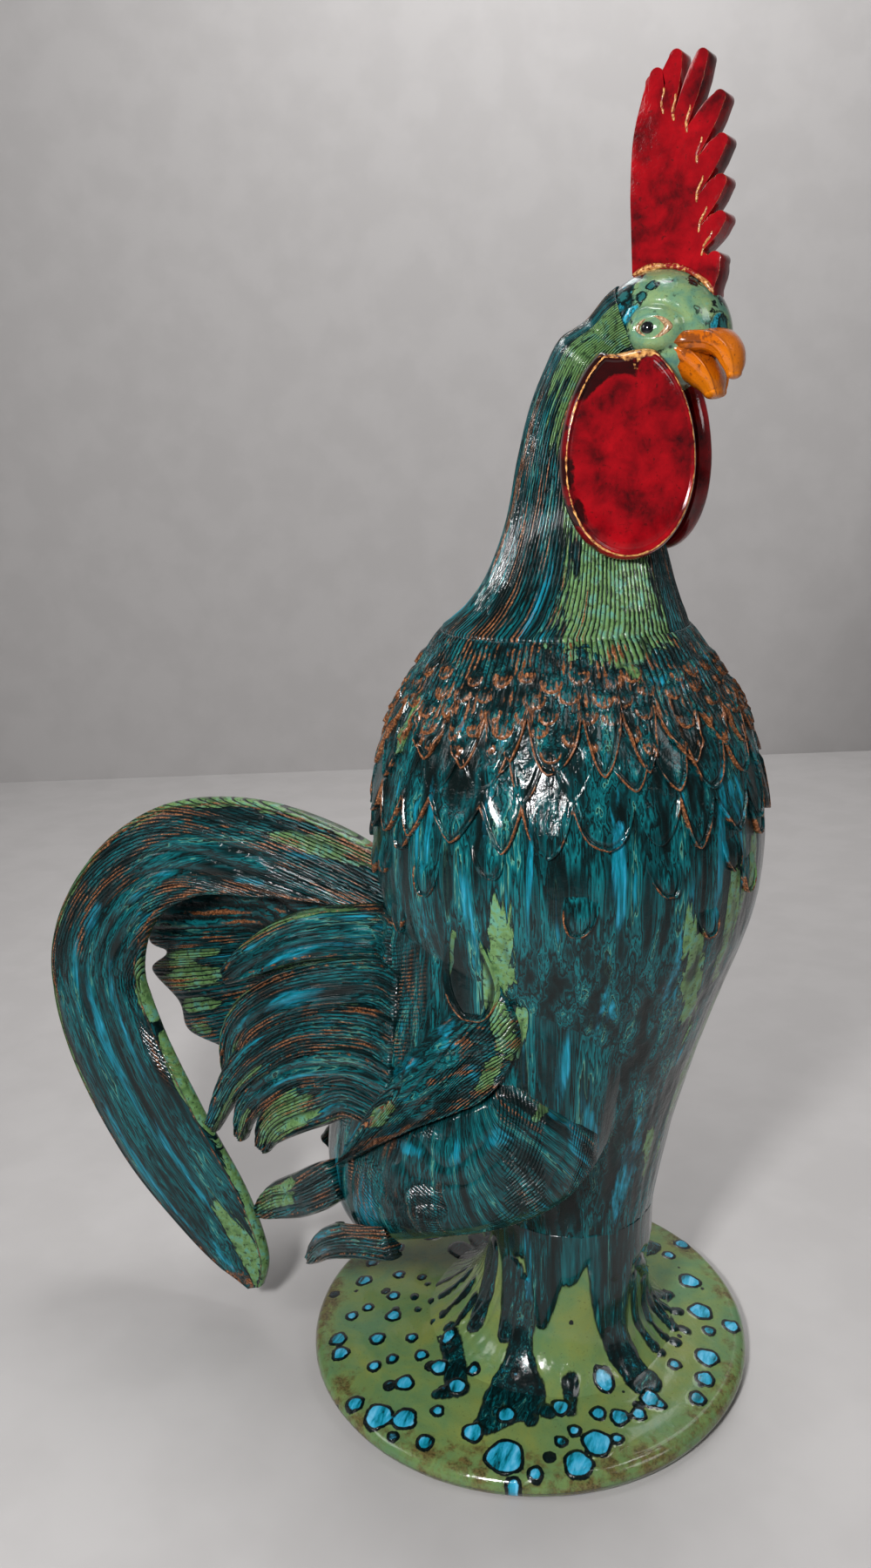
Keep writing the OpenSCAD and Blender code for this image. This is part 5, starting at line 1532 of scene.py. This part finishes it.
def running_glaze(name, run_size=8.0):
    """The figure's glaze: agate runs under green and turquoise, and copper where the clay stands proud."""
    m = Mixer(name)
    grain, plain = m.value("grain", "Vector"), m.place()
    base, runs, fine_runs = agate(m, grain, run_size)
    lumps = m.noise(plain, 5.0, 5.0, 0.6, 0.4)
    specks = m.noise(plain, 1.1, 3.0, 0.6)
    ragged = m.noise(grain, run_size * 0.7, 5.0, 0.65, 0.8) * 3.0 - 1.5
    blue_mix = m.ramp(fine_runs, [(0.36, teal), (0.54, turquoise), (0.74, sky)])
    base = m.blend(m.between(m.value("blue") + ragged, 0.15, 0.7) * 0.85, base, blue_mix)
    green = m.value("green") + ragged * 0.8
    base = m.blend(m.band(green, 0.0, 0.14) * 0.95, base, ink)
    leafy = m.ramp(lumps, [(0.34, moss), (0.50, leaf), (0.66, mint)])
    leafy = m.blend(m.between(m.noise(plain, 2.6, 4.0, 0.65), 0.54, 0.64) * 0.7, leafy, ink)
    base = m.blend(m.between(green, 0.04, 0.10), base, leafy)
    phase = m.value("strokes") + (lumps * 0.7 - 0.35)
    crest = m.math("ABSOLUTE", m.math("SINE", phase * math.pi))
    cut = m.value("cut")
    groove = m.between(crest, 0.62, 0.25) * cut
    # Ink in the comb grooves is pooled glaze. The other painted darkening, in recesses, under raised edges
    # and between feathers, is partly pooled glaze and partly painted shade.
    base = m.blend(m.math("MAXIMUM", groove, m.value("dip") * 0.9), base, ink)
    dashes = m.noise(grain, run_size * 0.8, 4.0, 0.6, 0.3)
    comb_copper = m.between(crest + m.value("worn") + (dashes * 3.4 - 3.0), 0.0, 0.25) * cut
    edge_copper = m.between(m.value("copper") + (lumps * 1.4 - 0.7), 0.42, 0.66)
    copper = m.math("MAXIMUM", comb_copper, edge_copper)
    copper_mix = m.ramp(specks, [(0.34, dark_brown), (0.54, copper_brown), (0.72, pale_copper)])
    base = m.blend(copper, base, copper_mix)
    rough = m.greys(specks + copper * 0.3, (0.35, 0.05), (0.65, 0.15), (1.0, 0.38))
    normal = m.bump(crest * cut, 0.7, 0.7)
    normal = m.bump(runs + lumps * 0.5, 1.6, 0.5, normal)
    normal = m.bump(specks, 0.2, 0.4, normal)
    return m.finish(base, rough, normal, 0.12)


def red_glaze_of(name, wattle_part):
    """Blood red glaze with black freckles. On a wattle it darkens, and breaks to ochre at rim and seam."""
    m = Mixer(name)
    plain = m.place()
    lumps = m.noise(plain, 14.0, 5.0, 0.6, 0.2)
    specks = m.noise(plain, 2.2, 3.0, 0.6)
    base = m.ramp(lumps, [(0.32, dark_red), (0.49, blood_red), (0.70, bright_red)])
    base = m.blend(m.between(specks, 0.60, 0.72) * 0.6, base, (0.03, 0.002, 0.002))
    if wattle_part:
        dark = m.value("dark") + (lumps * 2.2 - 1.35)
        base = m.blend(m.between(dark, 0.55, 0.80) * 0.92, base, black)
        edge = m.between(m.value("edge") + (m.noise(plain, 3.0) * 1.8 - 1.15), 0.36, 0.46)
        seam = m.between(m.value("seam") + (m.noise(plain, 5.0) * 1.2 - 0.7), 1.05, 1.16)
        ochre_mix = m.ramp(specks, [(0.38, dark_clay), (0.52, ochre), (0.66, pale_ochre)])
        base = m.blend(m.math("MAXIMUM", edge, seam), base, ochre_mix)
    normal = m.bump(specks, 0.2, 0.35, m.bump(lumps, 1.2, 0.35))
    return m.finish(base, m.greys(specks, (0.3, 0.06), (0.7, 0.17)), normal, 0.5)


def arris_clay_glaze():
    """The comb's arrises, where the red has run off the ochre clay in broken lines."""
    m = Mixer("comb_arris")
    plain = m.place()
    patches = m.noise(plain, 5.0, 5.0, 0.65)
    specks = m.noise(plain, 1.2, 3.0, 0.6)
    bare = m.ramp(specks, [(0.35, (0.16, 0.03, 0.01)), (0.55, ochre), (0.7, (0.80, 0.46, 0.20))])
    base = m.blend(m.between(patches, 0.40, 0.46), (0.20, 0.004, 0.006), bare)
    return m.finish(base, 0.22, m.bump(specks, 0.3, 0.6), 0.3)


def orange_glaze():
    """The beak's orange glaze, paler toward the tip and mottled with brown."""
    m = Mixer("beak_orange")
    plain = m.place()
    lumps = m.noise(plain, 4.0, 5.0, 0.65, 0.5)
    specks = m.noise(plain, 1.0, 4.0, 0.65)
    tip = m.value("tip")
    base = m.ramp(tip, [(0.0, (0.30, 0.08, 0.006)), (0.4, (0.50, 0.11, 0.003)), (1.0, (0.66, 0.18, 0.004))])
    mottle = m.between(lumps + (tip * -0.22 + 0.10), 0.52, 0.64)
    base = m.blend(mottle * 0.8, base, (0.14, 0.035, 0.008))
    base = m.blend(m.between(specks, 0.58, 0.68) * 0.6, base, (0.10, 0.02, 0.006))
    return m.finish(base, m.greys(specks, (0.3, 0.08), (0.7, 0.22)), m.bump(lumps, 0.8, 0.4), 0.5)


def head_green():
    """Light green glaze on the head, with teal blotches that have dark outlines, and dark teal behind."""
    m = Mixer("head_green")
    plain = m.place()
    lumps = m.noise(plain, 9.0, 5.0, 0.6, 0.6)
    specks = m.noise(plain, 1.0, 3.0, 0.6)
    base = m.ramp(lumps, [(0.34, (0.065, 0.18, 0.14)), (0.48, (0.13, 0.24, 0.13)),
                          (0.62, (0.19, 0.28, 0.12)), (0.74, (0.13, 0.32, 0.22))])
    base = m.blend(m.between(specks, 0.58, 0.70) * 0.55, base, (0.05, 0.055, 0.02))
    front = m.value("green") + (lumps * 1.6 - 0.9)
    base = m.blend(m.between(front, 0.35, 0.10), base, m.ramp(lumps, [(0.4, ink), (0.55, teal), (0.7, sea)]))
    blue = m.value("blue") + (m.noise(plain, 5.0) * 1.6 - 0.8)
    base = m.blend(m.band(blue, 0.36, 0.14) * 0.9, base, ink)
    blue_mix = m.ramp(specks, [(0.4, teal), (0.6, (0.02, 0.30, 0.42))])
    base = m.blend(m.between(blue, 0.42, 0.60), base, blue_mix)
    spot = m.value("blotch") + (m.noise(plain, 3.5, 4.0, 0.6, 0.8) * 1.6 - 0.85)
    base = m.blend(m.between(spot, -0.02, 0.10), base, ink)
    base = m.blend(m.between(spot, 0.22, 0.5) * 0.8, base, (0.02, 0.13, 0.13))
    normal = m.bump(specks, 0.15, 0.4, m.bump(lumps, 1.0, 0.5))
    return m.finish(base, m.greys(specks, (0.3, 0.06), (0.7, 0.2)), normal, 0.5)


def foot_green():
    """Sage green glaze on the plinth, browned at its rim, with drips from the column and sky blue pools."""
    m = Mixer("foot_sage")
    grain, plain = m.value("grain", "Vector"), m.place()
    lumps = m.noise(plain, 26.0, 6.0, 0.6, 0.5)
    small = m.noise(plain, 5.0, 5.0, 0.65, 0.4)
    specks = m.noise(plain, 1.1, 3.0, 0.65)
    base = m.ramp(lumps, [(0.34, (0.08, 0.17, 0.075)), (0.5, olive), (0.66, (0.17, 0.21, 0.055))])
    base = m.blend(m.between(specks, 0.60, 0.72) * 0.5, base, dark_brown)
    browned = m.value("rim") * 0.50 + (small - 0.52) + (lumps * 1.2 - 0.66)
    base = m.blend(m.between(browned, 0.28, 0.60) * 0.9, base,
                   m.ramp(specks, [(0.35, (0.03, 0.02, 0.008)), (0.6, (0.12, 0.085, 0.03))]))
    spot_gap = 15.0
    cells = {"Vector": plain, "Scale": 1 / (spot_gap * mm), "Randomness": 1.0}
    from_middle = m.add("ShaderNodeTexVoronoi", cells, output="Distance")
    cell = m.add("ShaderNodeTexVoronoi", cells, output="Color")
    size = m.add("ShaderNodeSeparateColor", {"Color": cell}) * 0.34 - 0.16
    spot = (size - from_middle) * spot_gap
    pool = m.math("MAXIMUM", m.value("pool"), m.math("MINIMUM", spot, 0.3)) + (small * 2.0 - 1.0)
    streaks = m.noise(grain, 4.0, 4.0, 0.6, 0.3)
    drip = m.value("drip") + (m.noise(grain, 5.0, 4.0, 0.6) * 4.0 - 2.0)
    runs, _, fine_runs = agate(m, grain, 8.0)
    tongue = m.between(m.value("tongue") + (streaks * 0.8 - 0.4), 0.0, 0.3)
    runs = m.blend(m.between(fine_runs, 0.66, 0.50) * 0.75, runs, ink)
    runs = m.blend(tongue * 0.85, runs, m.ramp(fine_runs, [(0.3, deep_teal), (0.5, teal), (0.7, sea)]))
    base = m.blend(m.between(drip, -0.3, 0.3), base, runs)
    base = m.blend(m.band(drip, 0.0, 0.9) * 0.9, base, ink)
    sky_mix = m.ramp(streaks, [(0.32, deep_teal), (0.42, turquoise), (0.54, sky), (0.68, pale_sky)])
    base = m.blend(m.between(pool, -1.4, -1.0), base, ink)
    base = m.blend(m.between(pool, 0.3, 0.9), base, sky_mix)
    normal = m.bump(m.between(pool, -0.8, 0.8) + small * 0.6, 0.7, 0.6)
    normal = m.bump(specks, 0.15, 0.35, normal)
    return m.finish(base, m.greys(specks, (0.3, 0.06), (0.7, 0.2)), normal, 0.4)


def black_glaze():
    """The eyes' glossy black."""
    m = Mixer("eye_black")
    plain = m.place()
    base = m.ramp(m.noise(plain, 1.5), [(0.4, black), (0.7, (0.012, 0.016, 0.02))])
    return m.finish(base, 0.05, m.bump(m.noise(plain, 1.0), 0.05, 0.2), 0.8)


def lid_tan():
    """Tan slip on the eyelids, and white in the eye's corner."""
    m = Mixer("eyelid_tan")
    specks = m.noise(m.place(), 0.9, 4.0, 0.65)
    base = m.ramp(specks, [(0.36, (0.07, 0.03, 0.015)), (0.5, (0.34, 0.20, 0.10)),
                           (0.66, (0.52, 0.36, 0.22))])
    white = m.ramp(specks, [(0.4, (0.35, 0.27, 0.20)), (0.6, (0.75, 0.70, 0.62))])
    base = m.blend(m.value("pale"), base, white)
    return m.finish(base, 0.15, m.bump(specks, 0.15, 0.4), 0.4)


body_glaze = running_glaze("body_running_teal", 8.0)
neck_glaze = running_glaze("neck_combed_green", 7.0)
wing_glaze = running_glaze("wing_combed_teal", 7.0)
tail_glaze = running_glaze("tail_combed_teal", 8.0)
head_glaze = head_green()
red_glaze = red_glaze_of("comb_red", False)
wattle_glaze = red_glaze_of("wattle_red", True)
arris_clay = arris_clay_glaze()
beak_glaze = orange_glaze()
foot_glaze = foot_green()
eye_glaze = black_glaze()
lid_glaze = lid_tan()


# Build the figure from the plinth up

plinth()
leg_column()
torso()
rump()
for course_number in range(3):
    course(course_number)
for stray_number, stray_place in enumerate(stray_shares):
    stray_feather(stray_place, stray_number + 1)
neck()
head()
comb()
comb_lines()
beak("upper_beak", upper_beak_shares, 0.75, 0.5, 0.12)
beak("lower_beak", lower_beak_shares, 0.45, 1, 0.15)
for eye_name, eye_hand in (("right", -1), ("left", 1)):
    eyeball(eye_hand, eye_name + "_eye")
    eyelids(eye_hand, eye_name + "_eyelid")
for make in (wattle, wing, wing_panel, scapular, sickle, fan, coverts):
    make()


# Room: a pale floor and wall, soft light, and a camera where the photograph was taken from

floor_m = 8
floor_drop_m = 0.0004
wall_m = 7
wall_sunk_m = 0.01
wall_far_m = 1.3
wall_turn = 23.6
world_light = (0.80, 0.79, 0.80, 1)
world_strength = 0.14


def wall(plaster):
    """A pale wall well behind the figure, turned as the room's wall is."""
    bpy.ops.object.select_all(action="DESELECT")
    bpy.ops.mesh.primitive_plane_add(size=wall_m)
    obj = bpy.context.object
    obj.name = "wall"
    q = points_of(obj)
    way = np.array([cos(wall_turn), sin(wall_turn), 0])
    behind = np.array([-sin(wall_turn), cos(wall_turn), 0]) * wall_far_m
    up = (q[:, 1:2] + wall_m / 2 - wall_sunk_m) * np.array([0, 0, 1])
    move_points(obj, behind + q[:, :1] * way + up)
    obj.data.materials.append(plaster)


def room():
    """The floor, the wall and the light that fills the room."""
    bpy.ops.object.select_all(action="DESELECT")
    bpy.ops.mesh.primitive_plane_add(size=floor_m, location=(0, 0, -floor_drop_m))
    floor = bpy.context.object
    floor.name = "floor"
    m = Mixer("pale_floor")
    shade = m.ramp(m.noise(m.place(), 60.0, 3.0), [(0.4, (0.40, 0.385, 0.38)), (0.6, (0.42, 0.405, 0.40))])
    m.set(m.shader.inputs["Base Color"], shade)
    m.shader.inputs["Roughness"].default_value = 0.8
    floor.data.materials.append(m.material)
    wall(m.material)
    world = bpy.data.worlds.new("soft_room")
    bpy.context.scene.world = world
    world.use_nodes = True
    background = world.node_tree.nodes["Background"]
    background.inputs[0].default_value = world_light
    background.inputs[1].default_value = world_strength


def lamp(name, place, aim, size, power):
    """A square soft light."""
    data = bpy.data.lights.new(name, "AREA")
    data.size = size
    data.energy = power
    obj = bpy.data.objects.new(name, data)
    bpy.context.collection.objects.link(obj)
    obj.location = place
    obj.rotation_mode = "QUATERNION"
    obj.rotation_quaternion = mathutils.Vector(np.array(aim) - np.array(place)).to_track_quat("-Z", "Y")
    return obj


camera_azimuth = 20
camera_distance = 576.5
camera_height = 465.1
camera_pitch = -14.75
camera_yaw = 3.93
camera_roll = -2.2
focal_px = 1400
image_h_px = 1801
sensor_mm = 36


def camera():
    """The camera, turned from level by its pitch, yaw and roll."""
    data = bpy.data.cameras.new("camera")
    obj = bpy.data.objects.new("camera", data)
    bpy.context.collection.objects.link(obj)
    data.sensor_width = sensor_mm
    data.lens = sensor_mm * focal_px / image_h_px
    obj.location = (camera_distance * sin(camera_azimuth) * mm, -camera_distance * cos(camera_azimuth) * mm,
                    camera_height * mm)
    turn = mathutils.Matrix.Rotation(math.radians(camera_azimuth + camera_yaw), 4, "Z")
    pitch = mathutils.Matrix.Rotation(math.radians(90 + camera_pitch), 4, "X")
    roll = mathutils.Matrix.Rotation(math.radians(camera_roll), 4, "Z")
    obj.rotation_mode = "QUATERNION"
    obj.rotation_quaternion = (turn @ pitch @ roll).to_quaternion()
    bpy.context.scene.camera = obj


room()
lamp("key", (0.02, -0.80, 0.66), (0, 0, 0.28), 0.11, 9.5)
lamp("left_fill", (-1.3, -0.9, 1.2), (0, 0, 0.25), 0.5, 4)
lamp("right_fill", (1.2, -0.2, 1.1), (0, 0, 0.3), 0.4, 2.5)
lamp("back_fill", (-0.3, 0.9, 1.5), (0, 0, 0.3), 0.8, 5)
lamp("wall_wash", (0.1, 0.5, 1.9), (-0.5, 1.2, 0.5), 0.8, 22)
camera()
bpy.context.scene.view_settings.view_transform = "Standard"
